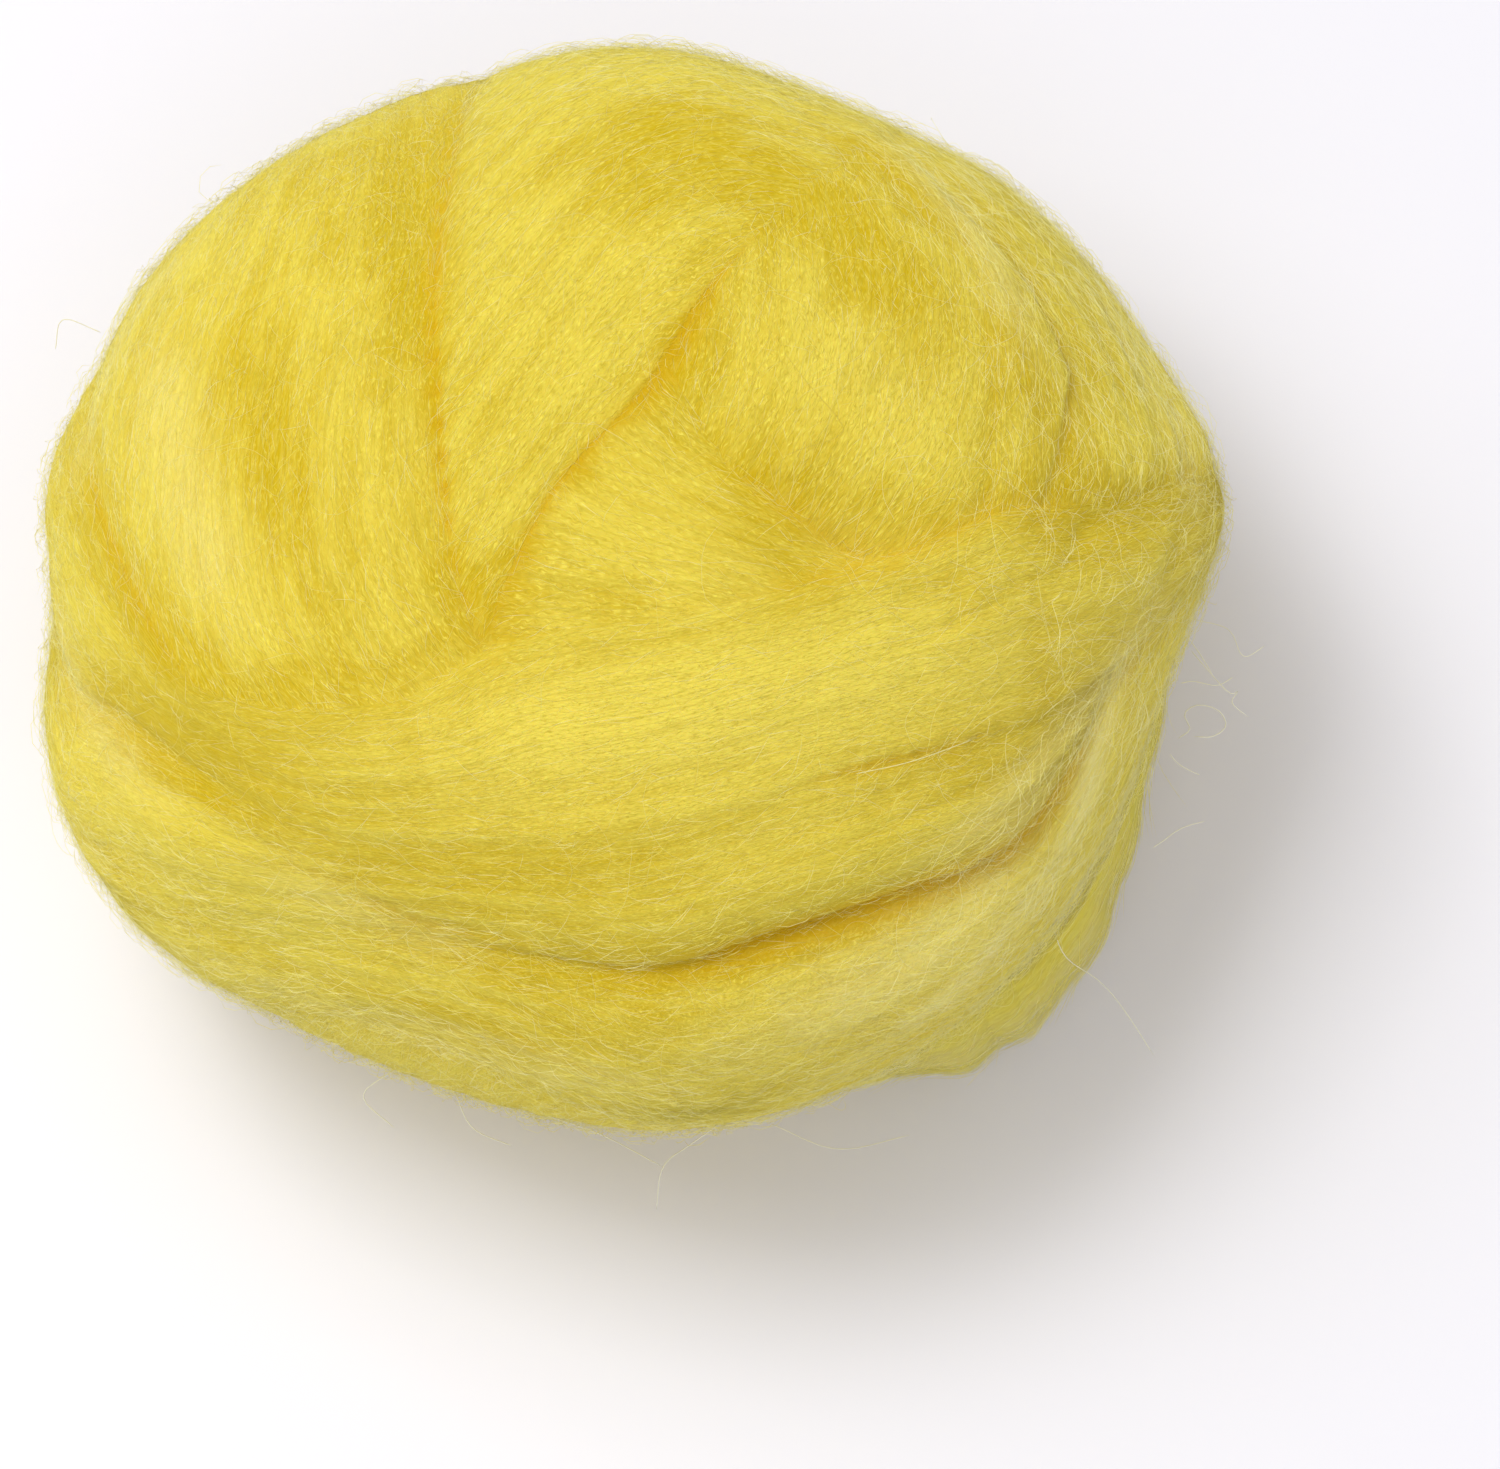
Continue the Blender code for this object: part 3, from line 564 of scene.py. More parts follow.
# Laps with a dark, deep-coloured line between the wraps, painted shade where one wrap's lip shades the next: the
# same columns.
SEAM_SHADE_PLACES = (
    (3.0, 0.8, (-19, -8), (-11.7, 9.6), (-5.2, 18.2), (3, 27), (11.2, 40), (18, 48)),
    (2.0, 0.8, (-24.4, 72.5), (-27.7, 52.5), (-28, 40), (-26, 17), (-21, -8)),
    (4.0, 1.0, (0, -56.8), (20, -52.8), (42, -46.6), (60, -40), (68, -31), (72, -25)),
    (3.0, 0.3, (16, 15), (28.7, 6.2), (38, 2)),
    (3.0, 0.7, (61, 16), (64.7, 30.6), (60, 42)),
    (3.0, 0.4, (18, -3), (42, 4.1), (54, 9.3), (66, 11)),
    (3.0, 0.5, (26, -29.5), (39, -26.6), (56, -22)),
    (3.0, 0.4, (-80, 15.5), (-76, 4), (-64, -13)),
    (3.0, 0.15, (-80, -15), (-70, -21), (-58, -28)),
    (2.0, 0.4, (-58, -32), (-44, -42), (-31, -49.5), (-12, -54.5)),
)
# Painted shade: places painted a darker, fuller colour, in creases and where less light falls. The same columns.
DEEP_SHADE_PLACES = (
    (8.0, 1.1, (-5.2, 67.3), (9.6, 62.2), (24.4, 55.5), (34.8, 45.1), (42.2, 33.3)),
    (5.0, 0.35, (50.3, 42.2), (59.9, 22.9), (62.9, 12.6)),
    (5.0, 0.8, (58, 10), (66, 8), (75, 6)),
    (4.0, 0.35, (16, 13), (30.3, 4), (41, 2)),
    (5.0, 0.8, (30, 66), (39, 58), (47, 50)),
    (4.5, 0.5, (-31, 72), (-30, 57), (-29.5, 40), (-29, 28)),
    (3.5, 0.5, (-41, 69), (-43, 55), (-42.2, 40)),
    (3.0, 0.4, (-36, 66), (-37, 50), (-35, 20)),
    (6.0, 0.8, (-76, -14), (-64.4, -23.8), (-56.4, -27.2), (-44, -32)),
    (7.0, 0.45, (45, -9.6), (62, -8.1), (78, -2)),
    (3.5, 0.7, (-52, -14), (-34.8, -15.5), (-20, -10)),
    (3.0, 0.8, (-24, 2), (-21, -7), (-19, -13)),
    (3.4, 1.0, (4, -56.6), (31.8, -50.3), (48.1, -44.6), (63, -35), (70, -28)),
    (4.0, 0.9, (-82, 27), (-76, 4), (-68, -8), (-56, -16)),
    (9.0, 0.5, (-54, 44), (-52, 28), (-48, 5), (-38, -10)),
    (8.0, 0.45, (-52, 58), (-45, 62), (-36, 66)),
    (9.0, 0.5, (-14, 62), (-2, 57), (10, 52)),
    (3.5, 0.5, (-80, 24), (-76, 8), (-71, -4)),
    (7.5, 0.5, (-72, -18), (-60, -25), (-48, -30)),
    (7.0, 0.15, (-26, -60), (-18, -61), (-6, -62)),
    (4.0, 0.15, (-20, -14), (10, -8), (40, 2)),
    (4.0, 0.4, (-62, -49), (-30, -62), (-8, -70)),
)

# Painted light: places painted fairer where the combed locks lie open to the light. The same columns.
LIT_PLACES = (
    (13.0, 1.0, (-40, -25), (0, -22), (44, -15), (64, -10)),
    (6.0, 0.7, (2, -2), (12.6, -4), (24, 0)),
    (7.0, 0.5, (10, -42), (32, -32), (50, -30)),
    (9.0, 0.6, (24, 30), (36, 26), (44, 16)),
    (8.0, 0.8, (20, -66), (42, -58), (60, -44)),
    (6.0, 0.6, (24, 6), (40, 3), (58, 4)),
    (8.0, 0.7, (58, -12), (74, -4), (81, 4)),
)

# Places where the fibres lie smooth, with fewer painted glints and painted gap shade between them: the same
# columns.
SMOOTH_PLACES = (
    (24.0, 1.0, (-64, 44), (-54, 14), (-46, -6)),
    (9.0, 0.8, (-7, 4), (6, 10), (20, 3)),
)

# A place fades towards its ends: the share of its length, and the least and further share of its strength.
PLACE_FADE, PLACE_LEAST, PLACE_MORE = 0.18, 0.3, 0.7
# How much the painted seam shade takes off the pale, and how far the painted deep shade calms the flecks.
SEAM_SHADE_OVER_PALE, SHADE_IS_SMOOTH = 0.8, 0.8


def spread_over(places):
    """How much of each place there is at every point of the ball."""
    found = np.zeros(len(round_points))
    for width, strength, *marks in places:
        away, along = distance_to(marks, round_points)
        ends = ease(0, PLACE_FADE, along) * ease(0, PLACE_FADE, 1 - along)
        found = np.maximum(found, strength * np.exp(-(away / width) ** 2) * (PLACE_LEAST + PLACE_MORE * ends))
    return found


seam_shade_spread, deep_shade_spread = spread_over(SEAM_SHADE_PLACES), spread_over(DEEP_SHADE_PLACES)
pale_and_lit = spread_over(PALE_AND_LIT_PLACES) * (1 - SEAM_SHADE_OVER_PALE * seam_shade_spread)
store(ball.data, "pale_and_lit", pale_and_lit)
store(ball.data, "deep_shade", deep_shade_spread)
store(ball.data, "seam_shade", seam_shade_spread)
store(ball.data, "painted_light", spread_over(LIT_PLACES))
store(ball.data, "smooth", np.maximum(spread_over(SMOOTH_PLACES), SHADE_IS_SMOOTH * deep_shade_spread))


class Value:
    """A number or a colour in a material, which can be added to, taken from and multiplied."""

    def __init__(self, nodes, socket):
        self.nodes, self.socket = nodes, socket

    def __add__(self, other):
        return self.nodes.math("ADD", self, other)

    def __sub__(self, other):
        return self.nodes.math("SUBTRACT", self, other)

    def __rsub__(self, other):
        return self.nodes.math("SUBTRACT", other, self)

    def __mul__(self, other):
        return self.nodes.math("MULTIPLY", self, other)


class Nodes:
    """A short way to lay out a material's nodes."""

    def __init__(self, name):
        self.material = bpy.data.materials.new(name)
        self.material.use_nodes = True
        self.tree = self.material.node_tree

    def put(self, value, socket):
        if isinstance(value, Value):
            self.tree.links.new(value.socket, socket)
        elif isinstance(value, tuple) and socket.type == "RGBA":
            socket.default_value = (*value, 1)
        else:
            socket.default_value = value

    def node(self, kind, inputs, out=0, **settings):
        made = self.tree.nodes.new("ShaderNode" + kind)
        for key, value in settings.items():
            setattr(made, key, value)
        for key, value in inputs.items():
            self.put(value, made.inputs[key])
        return Value(self, made.outputs[out])

    def attribute(self, name, out="Fac"):
        return self.node("Attribute", {}, out, attribute_name=name)

    def math(self, operation, a, b=0.0):
        return self.node("Math", {0: a, 1: b}, operation=operation)

    def noise(self, vector, scale, detail=2.0, rough=0.5):
        inputs = {"Vector": vector, "Scale": scale, "Detail": detail, "Roughness": rough}
        return self.node("TexNoise", inputs, "Fac")

    def grain(self, lay, size, detail=1.0, rough=0.5):
        """Noise whose grains are as long and as wide as the size, in mm along and across the lay."""
        scale = (1 / size[0], 1 / size[1], 1.0)
        return self.noise(self.node("VectorMath", {0: lay, 1: scale}, operation="MULTIPLY"), 1.0, detail, rough)

    def steps(self, value, low, high, to_low=0.0, to_high=1.0):
        settings = enumerate((value, low, high, to_low, to_high))
        return self.node("MapRange", dict(settings), interpolation_type="SMOOTHSTEP")

    def mix(self, share, a, b):
        return self.node("Mix", {"Factor": share, 6: a, 7: b}, 2, data_type="RGBA")

    def blend(self, share, a, b):
        return self.node("Mix", {"Factor": share, 2: a, 3: b})

    def bump(self, height, strength):
        return self.node("Bump", {"Strength": strength, "Distance": MM, "Height": height}, "Normal")

    def finish(self, **settings):
        """Sets the shader's own sockets."""
        for name, value in settings.items():
            self.put(value, self.tree.nodes["Principled BSDF"].inputs[name.replace("_", " ")])


# Grains of combed wool: mm along and across its lay.
LOCK_SIZE, FIBRE_SIZE, GLINT_SIZE, STRAND_SIZE = (34, 3.0), (6.0, 0.40), (1.3, 0.18), (22, 1.3)
# Its crimp: mm along and across a drift, turns a mm, turns that it drifts, height mm.
CRIMP_SIZE, CRIMP_TURN, CRIMP_DRIFT, CRIMP_HEIGHT = (7, 1.1), 2.9, 24.0, 0.11
GROOVE_HALF = 0.045


def combed(nodes, lay):
    """Locks, fibres, short glints and long grooves of combed wool, from a place along and across the lay in mm."""
    along, across = (nodes.node("SeparateXYZ", {0: lay}, axis) for axis in ("X", "Y"))
    turn = along * CRIMP_TURN + nodes.grain(lay, CRIMP_SIZE) * CRIMP_DRIFT
    wave = nodes.math("SINE", turn) * CRIMP_HEIGHT
    crimped = nodes.node("CombineXYZ", {0: along, 1: across + wave})
    lock = nodes.grain(lay, LOCK_SIZE, 3.0)
    fibre = nodes.grain(crimped, FIBRE_SIZE, 2.0, 0.6)
    glint = nodes.grain(crimped, GLINT_SIZE)
    strand = nodes.grain(lay, STRAND_SIZE)
    groove = nodes.steps(nodes.math("ABSOLUTE", strand - 0.5), 0.0, GROOVE_HALF, 1.0, 0.0)
    return lock, fibre, glint, groove


WOOL_DEEP_AND_SHADE = (0.635, 0.46, 0.004)
WOOL_BODY = (0.78, 0.65, 0.078)
WOOL_LIT = (0.89, 0.77, 0.13)
WOOL_BRIGHT = (0.80, 0.69, 0.11)
WOOL_GLINT_HIGHLIGHT = (0.92, 0.83, 0.14)
WOOL_GAP_SHADE = (0.56, 0.44, 0.030)
WOOL_SEAM_SHADE = (0.70, 0.46, 0.005)
WOOL_PALE_AND_LIT = (0.91, 0.85, 0.40)
RAGGED_EDGE = 0.8       # how far a wrap's fibres stray over its edge, as a share of the lap
PATCH_SCALE = 26.0      # patches of fuller and paler dye, to the metre

wool = Nodes("combed_wool")
over = combed(wool, wool.attribute("over_lay", "Vector"))
below = combed(wool, wool.attribute("under_lay", "Vector"))
ragged = wool.attribute("over_share") + (over[1] - 0.5) * RAGGED_EDGE
on_top = wool.steps(ragged, 0.35, 0.65)
lock, fibre, glint, groove = (wool.blend(on_top, b, a) for a, b in zip(over, below))
seam_shade, crease_shade = wool.attribute("seam_shade"), wool.attribute("crease_shade")
patch = wool.noise(wool.node("TexCoord", {}, "Object"), PATCH_SCALE, 3.0, 0.65)
# Random dye patches, darkened by painted shade in the laps and in the deep-shade places.
dye_and_shade = lock * 0.45 + patch * 0.55 - crease_shade * 0.35 - wool.attribute("deep_shade") * 0.38
colour = wool.mix(wool.steps(dye_and_shade, 0.26, 0.58), WOOL_DEEP_AND_SHADE, WOOL_BODY)
colour = wool.mix(wool.steps(fibre, 0.40, 0.66) * 0.4, colour, WOOL_BRIGHT)
# Painted light where the locks lie open to the light.
colour = wool.mix(wool.attribute("painted_light") * 0.7, colour, WOOL_LIT)
lively = 1.0 - wool.attribute("smooth") * 0.45
# Fine flecks: painted highlights on the crimps, and painted shade in the gaps between fibres.
colour = wool.mix(lively * wool.steps(glint, 0.52, 0.74, 0.0, 0.7), colour, WOOL_GLINT_HIGHLIGHT)
colour = wool.mix(lively * wool.steps(glint, 0.28, 0.48, 0.6, 0.0), colour, WOOL_GAP_SHADE)
# Painted shade down the long grooves between strands.
colour = wool.mix(groove * 0.30, colour, WOOL_GAP_SHADE)
# A dark line along the lap's edge: painted shade under the lip of the wrap on top.
lap_edge_shade = wool.steps(ragged, 0.1, 0.45) * wool.steps(ragged, 0.5, 0.8, 1.0, 0.0) * (seam_shade * 0.8)
colour = wool.mix(lap_edge_shade, colour, WOOL_SEAM_SHADE)
# Painted shade deep in the laps along these seams.
colour = wool.mix(seam_shade * wool.steps(crease_shade, 0.1, 0.7), colour, WOOL_SEAM_SHADE)
# Pale haze of thin fibres, and on the lower right painted light.
haze_and_light = wool.attribute("pale_and_lit") * wool.steps(fibre, 0.3, 0.7, 0.45, 1.0)
relief = lock * 0.25 + fibre * 0.10 + glint * (lively * 0.20) - groove * 0.05 - lap_edge_shade * 0.25
wool.finish(
    Base_Color=wool.mix(haze_and_light, colour, WOOL_PALE_AND_LIT), Normal=wool.bump(relief, 0.9),
    Roughness=wool.steps(fibre, 0.2, 0.8, 0.78, 0.96), Diffuse_Roughness=1.0, Specular_IOR_Level=0.08,
    Sheen_Weight=0.40, Sheen_Roughness=0.45, Sheen_Tint=(1.0, 0.90, 0.25),
    Subsurface_Weight=0.20, Subsurface_Radius=(1.0, 0.7, 0.12), Subsurface_Scale=0.004,
)

ball.data.materials.clear()
ball.data.materials.append(wool.material)
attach(ball, "root")
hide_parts("wound_ball")


# ---- The fibres that lie on the wraps ----
# Ends and bows of single wool fibres that rise a little out of the combed surface. They run the way of the wrap
# they lie on, and are held in it by the fibres round them. Each is a thin tapered hair.

ball_tree = BVHTree.FromObject(ball, bpy.context.evaluated_depsgraph_get())
face_corners = ball_skin[loop_points].reshape(face_count, 4, 3)
face_middle = face_corners.mean(1)
face_cross = np.cross(face_corners[:, 2] - face_corners[:, 0], face_corners[:, 3] - face_corners[:, 1])
face_area = np.linalg.norm(face_cross, axis=1) / 2
top_lay = np.where((over_share.mean(1) > COVER_FULL)[:, None, None], over_lay, under_lay)
one_edge, other_edge = face_corners[:, 1] - face_corners[:, 0], face_corners[:, 3] - face_corners[:, 0]
one_lay, other_lay = top_lay[:, 1] - top_lay[:, 0], top_lay[:, 3] - top_lay[:, 0]
turned = one_lay[:, 0] * other_lay[:, 1] - other_lay[:, 0] * one_lay[:, 1]
fibre_way = (other_lay[:, 1:] * one_edge - one_lay[:, 1:] * other_edge) * np.sign(turned)[:, None]
fibre_way = fibre_way / np.maximum(np.linalg.norm(fibre_way, axis=1, keepdims=True), 1e-12)

TABLE_CLEAR = 0.0002    # metres that no fibre goes below
BARE_BELOW = 0.004      # no fibre starts lower than this, where the ball lies on the table


def turn_about(vectors, axes, angles):
    c, s = np.cos(angles)[:, None], np.sin(angles)[:, None]
    return vectors * c + np.cross(axes, vectors) * s + axes * (axes * vectors).sum(1, keepdims=True) * (1 - c)


def follow(rng, share, count, length, points, spread, wander):
    """Paths over the ball along the lay of its wool: places, the way out of the ball, and each path's length."""
    share = share * face_area * (face_middle[:, 2] > BARE_BELOW)
    picked = rng.choice(face_count, count, p=share / share.sum())
    u, v = rng.random((2, count, 1))
    a, b, c, d = (face_corners[picked, corner] for corner in range(4))
    place = (a * (1 - u) + b * u) * (1 - v) + (d * (1 - u) + c * u) * v
    out = unit(face_cross[picked])
    way = fibre_way[picked] * rng.choice((-1, 1), (count, 1))
    turn = rng.normal(0, math.radians(spread), count)
    curl = rng.normal(0, math.radians(wander), count)
    lengths = rng.uniform(*length, count)
    step = (lengths / (points - 1) * MM)[:, None]
    places, outs = [place], [out]
    for _ in range(points - 1):
        guess = place + unit(turn_about(way, out, turn)) * step
        hits = [ball_tree.find_nearest(point) for point in guess.tolist()]
        place, out, nearest = (np.array([hit[item] for hit in hits]) for item in range(3))
        fresh = fibre_way[nearest]
        way = fresh * np.where((fresh * way).sum(1, keepdims=True) < 0, -1, 1)
        turn = turn + curl + rng.normal(0, math.radians(wander) / 2, count)
        places.append(place)
        outs.append(out)
    return np.stack(places, 1), np.stack(outs, 1), lengths


def lifted(places, outs, rise):
    """Places moved out of the ball by a rise in mm."""
    return places + outs * rise[:, :, None] * MM


def hairs(name, places, outs, thickness, tone):
    """One mesh of thin three-sided hairs, each tapered to a point at both ends."""
    count, points = places.shape[:2]
    way = unit(np.gradient(places, axis=1))
    side = unit(np.cross(outs, way))
    up = np.cross(way, side)
    around = np.radians((90, 210, 330))[None, None, :, None]
    offset = np.cos(around) * side[:, 1:-1, None] + np.sin(around) * up[:, 1:-1, None]
    rings = places[:, 1:-1, None] + offset * (thickness * MM / 2)[:, None, None, None]
    each = 2 + 3 * (points - 2)
    verts = np.concatenate((places[:, :1], rings.reshape(count, -1, 3), places[:, -1:]), 1)
    verts[:, :, 2] = np.maximum(verts[:, :, 2], TABLE_CLEAR)
    pattern = []
    for corner in range(3):
        beyond = (corner + 1) % 3
        pattern.append((0, 1 + beyond, 1 + corner))
        for low in range(1, each - 4, 3):
            pattern.append((low + corner, low + beyond, low + 3 + beyond))
            pattern.append((low + corner, low + 3 + beyond, low + 3 + corner))
        pattern.append((each - 4 + corner, each - 4 + beyond, each - 1))
    tris = (np.array(pattern)[None] + (np.arange(count) * each)[:, None, None]).reshape(-1, 3)
    mesh = bpy.data.meshes.new(name)
    mesh.from_pydata(verts.reshape(-1, 3).tolist(), [], tris.tolist())
    store(mesh, "tone", np.repeat(tone, each))
    mesh.shade_smooth()
    made = bpy.data.objects.new(name, mesh)
    bpy.context.scene.collection.objects.link(made)
    return made


# A fibre's colour by its tone, from brown upwards: the tones between which each comes in, colour
FIBRE_BROWN = (0.30, 0.22, 0.03)
FIBRE_COLOURS = (
    (-0.5, 0.1, (0.78, 0.64, 0.05)),
    (0.1, 0.6, (0.88, 0.79, 0.15)),
    (0.6, 1.25, (0.95, 0.91, 0.45)),
    (1.4, 2.0, (0.97, 0.96, 0.80)),
)
SPECKLE_SCALE, SPECKLE_SHARE = 900.0, 0.3

single = Nodes("single_fibres")
speckle = single.noise(single.node("TexCoord", {}, "Object"), SPECKLE_SCALE)
tone = single.attribute("tone") + speckle * SPECKLE_SHARE
colour = FIBRE_BROWN
for low, high, paler in FIBRE_COLOURS:
    colour = single.mix(single.steps(tone, low, high), colour, paler)
single.finish(
    Base_Color=colour, Roughness=0.6, Specular_IOR_Level=0.3, Sheen_Weight=0.2, Sheen_Tint=(1.0, 0.95, 0.7),
)


def onto_ball(thing):
    thing.data.materials.append(single.material)
    thing.visible_shadow = False        # a real fibre lets most of the light through
    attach(thing, "root")


LAID, LAID_LENGTH, LAID_POINTS, LAID_THICK = 16000, (2, 6), 4, (0.05, 0.09)
LAID_SPREAD, LAID_WANDER = 12, 5            # degrees off the lay of the wool, degrees it turns at each step
LAID_LEAN, LAID_RISE, LAID_MOST = 0.6, 0.10, 0.5
LAID_OFF = (-0.02, 0.08)                    # mm that its middle lies over the wool

rng = np.random.default_rng(11)
places, outs, _ = follow(rng, np.ones(face_count), LAID, LAID_LENGTH, LAID_POINTS, LAID_SPREAD, LAID_WANDER)
steps = np.linspace(-1, 1, LAID_POINTS)[None]
lean = rng.uniform(-LAID_LEAN, LAID_LEAN, (LAID, 1))
rise = rng.exponential(LAID_RISE, (LAID, 1)).clip(0, LAID_MOST) * (steps + lean) ** 2
places = lifted(places, outs, rise + rng.uniform(*LAID_OFF, (LAID, 1)))
onto_ball(hairs("laid_fibres", places, outs, rng.uniform(*LAID_THICK, LAID), rng.random(LAID)))


# ---- The fuzz ----
# Short ends and bows of fibres that stand off the wool all round, more of them where it was handled, on the right.
# Nothing but the twist of the wool holds them. They are thin tapered hairs too.

# name, seed, how many, length mm, points along each
FUZZ = (
    ("short_fuzz", 21, 32000, (1.5, 4.0), 3),
    ("long_fuzz", 22, 16000, (4.0, 9.0), 4),
)
FUZZ_SPREAD, FUZZ_WANDER = 28, 9
FUZZ_THICK = (0.045, 0.075)
BOWED = 0.7                                 # share of the fuzz that is held at both ends
BOW_HEIGHT = (0.04, 0.26)                   # of its length
BOW_OFF, BOW_OFF_MOST = 0.3, 1.5
END_LIFT = 1.4                              # how late a loose fibre end leaves the wool


def rim_share(places):
    """How near places lie to the rim of the ball as it is seen, from 0 to 1."""
    return 1 - seen_from_ball(unit(places / MM + PART_ORIGIN))[:, 2] ** 2


def over_faces(values):
    return values[loop_points].reshape(face_count, 4).mean(1)


face_pale_and_lit = over_faces(pale_and_lit)
fuzz_share = (0.5 + 1.6 * rim_share(face_middle)) * (1 + face_pale_and_lit) * (1 - 0.6 * over_faces(deep_shade_spread).clip(0, 1))
for name, seed, count, length, points in FUZZ:
    rng = np.random.default_rng(seed)
    places, outs, lengths = follow(rng, fuzz_share, count, length, points, FUZZ_SPREAD, FUZZ_WANDER)
    steps = np.linspace(0, 1, points)[None]
    height = lengths[:, None] * rng.uniform(*BOW_HEIGHT, (count, 1))
    off = rng.exponential(BOW_OFF, (count, 1)).clip(0, BOW_OFF_MOST)
    bows = rng.random((count, 1)) < BOWED
    rise = np.where(bows, off + height * np.sin(steps * math.pi), height * steps ** END_LIFT)
    places = lifted(places, outs, rise)
    # Fibres near the rim as seen are painted paler: painted sheen.
    tone = rng.uniform(0.1, 0.9, count) + 0.2 * rim_share(places[:, 0])
    onto_ball(hairs(name, places, outs, rng.uniform(*FUZZ_THICK, count), tone))


# ---- The strays ----
# Long single fibres that have worked loose, most of them on the right. They wander over the ball and stand off it,
# and each is still held by the wool at one end.

STRAYS, STRAY_LENGTH, STRAY_POINTS, STRAY_THICK = 1500, (8, 24), 12, (0.04, 0.065)
STRAY_SPREAD, STRAY_WANDER = 38, 12
STRAY_HEIGHT, STRAY_HEIGHTS = 0.9, (0.15, 6)
STRAY_WAVES, STRAY_START = (0.5, 1.5), 0.3  # in turns
STRAY_FREE = 1.6                            # it stands wholly free after 1 / 1.6 of its length

rng = np.random.default_rng(31)
loose_share = 0.35 + 1.6 * ease(0.02, 0.08, face_middle[:, 0]) + 7 * face_pale_and_lit
places, outs, _ = follow(rng, loose_share, STRAYS, STRAY_LENGTH, STRAY_POINTS, STRAY_SPREAD, STRAY_WANDER)
steps = np.linspace(0, 1, STRAY_POINTS)[None]
height = rng.exponential(STRAY_HEIGHT, (STRAYS, 1)).clip(*STRAY_HEIGHTS)
turns = steps * rng.uniform(*STRAY_WAVES, (STRAYS, 1)) + rng.random((STRAYS, 1)) * STRAY_START
waves = 0.5 - 0.5 * np.cos(2 * math.pi * turns)
rise = height * (0.25 * steps + waves) * np.sin(np.clip(steps * STRAY_FREE, 0, 1) * math.pi / 2)
places = lifted(places, outs, rise)
tone = rng.uniform(0.4, 0.9, STRAYS) + 0.4 * ease(0.02, 0.07, places[:, 0, 0])
onto_ball(hairs("stray_fibres", places, outs, rng.uniform(*STRAY_THICK, STRAYS), tone))


# ---- The strays that stand clear ----
# The few long single fibres that catch the eye: most of them against the table beside the ball, two on its front.
# They are wool fibres too, held by the ball at one end.

LOOK_DOWN = math.radians(72)
toward_eye = Vector((0, -math.cos(LOOK_DOWN), math.sin(LOOK_DOWN)))
up_in_view = Vector((0, math.sin(LOOK_DOWN), math.cos(LOOK_DOWN)))
# tone, thickness mm, height over the wool mm, then right, up and toward the eye in mm along it
CLEAR_STRAYS = (
    (1.8, 0.20, 0.5, (-12.6, -58, 56), (-5.2, -61.6, 55), (4, -66.6, 52)),
    (1.8, 0.20, 0.5, (12.6, -59, 56), (8.1, -63.2, 54), (4, -66.6, 52), (3, -73.2, 49)),
    (1.9, 0.18, 0.5, (80.5, -2.8, 55), (82.5, -1.3, 55), (81.6, 0.9, 55), (83.6, 2.3, 55), (86.7, 1.5, 55),
     (87.9, -0.8, 54), (85.9, -2.4, 54), (83, -2.4, 54)),
    (1.9, 0.15, 0.5, (82.5, 10.5, 56), (84.8, 7.8, 56), (88.2, 4.1, 56), (89.6, 4.3, 55), (88.7, 2.6, 55),
     (91.3, 0.4, 54)),
    (1.9, 0.15, 0.5, (81, 15, 56), (81.9, 12.9, 56), (84.2, 9.5, 55), (86, 6.6, 54)),
    (1.9, 0.15, 0.5, (83, 15, 56), (88.2, 13.5, 56), (90.4, 9.5, 55), (93.8, 11.2, 54)),
    (1.8, 0.15, 0.5, (81, 5.5, 56), (83, 5.8, 56), (86.5, 5.2, 55), (89, 6.5, 54)),
    (1.8, 0.15, 0.5, (77, -19, 53), (78.5, -18, 53), (81.3, -16.1, 52), (85, -15, 51)),
    (1.8, 0.15, 0.5, (79.5, -5, 55), (80.5, -6.2, 54), (82, -7.2, 53), (84.2, -8.2, 52)),
    (1.9, 0.18, 0.5, (62.2, -30.2, 44), (64.4, -35.5, 42), (69.7, -39.3, 40), (73.6, -43.9, 37), (78.1, -50.7, 34)),
    (1.8, 0.18, 0.5, (-36, -52, 55), (-40.7, -56, 53), (-36, -61, 50)),
    (1.8, 0.18, 0.5, (-27, -55, 55), (-24.4, -60.7, 53), (-18.5, -63.6, 50)),
    (1.6, 0.16, 0.5, (35, 85, 50), (40, 88.8, 48), (44.4, 86.6, 47)),
    (1.6, 0.15, 0.5, (-80, 58, 48), (-85.8, 60, 48), (-87, 55.5, 47)),
    (1.8, 0.16, 0.5, (20, -60, 54), (30, -64, 51), (41, -62, 48)),
    (1.2, 0.16, 0.6, (31.8, -7.7, 0), (40, -5.9, 0), (48.8, -2.8, 0)),
    (-0.25, 0.085, 0.4, (21.8, 52.1, 0), (25.2, 47.5, 0), (30, 41.8, 0), (28.9, 39.7, 0), (22, 37.2, 0),
     (21.3, 33.5, 0)),
)
CLEAR_POINTS = 20


def seen_place(right, up, toward, lift):
    """A place in the view: just over the wool where there is wool behind it, or else at the depth given."""
    place = (Vector((right, 0, 0)) + up_in_view * up + toward_eye * toward) * MM
    hit, _, _, _ = ball_tree.ray_cast(place + toward_eye, -toward_eye)
    return place if hit is None else hit + toward_eye * lift * MM


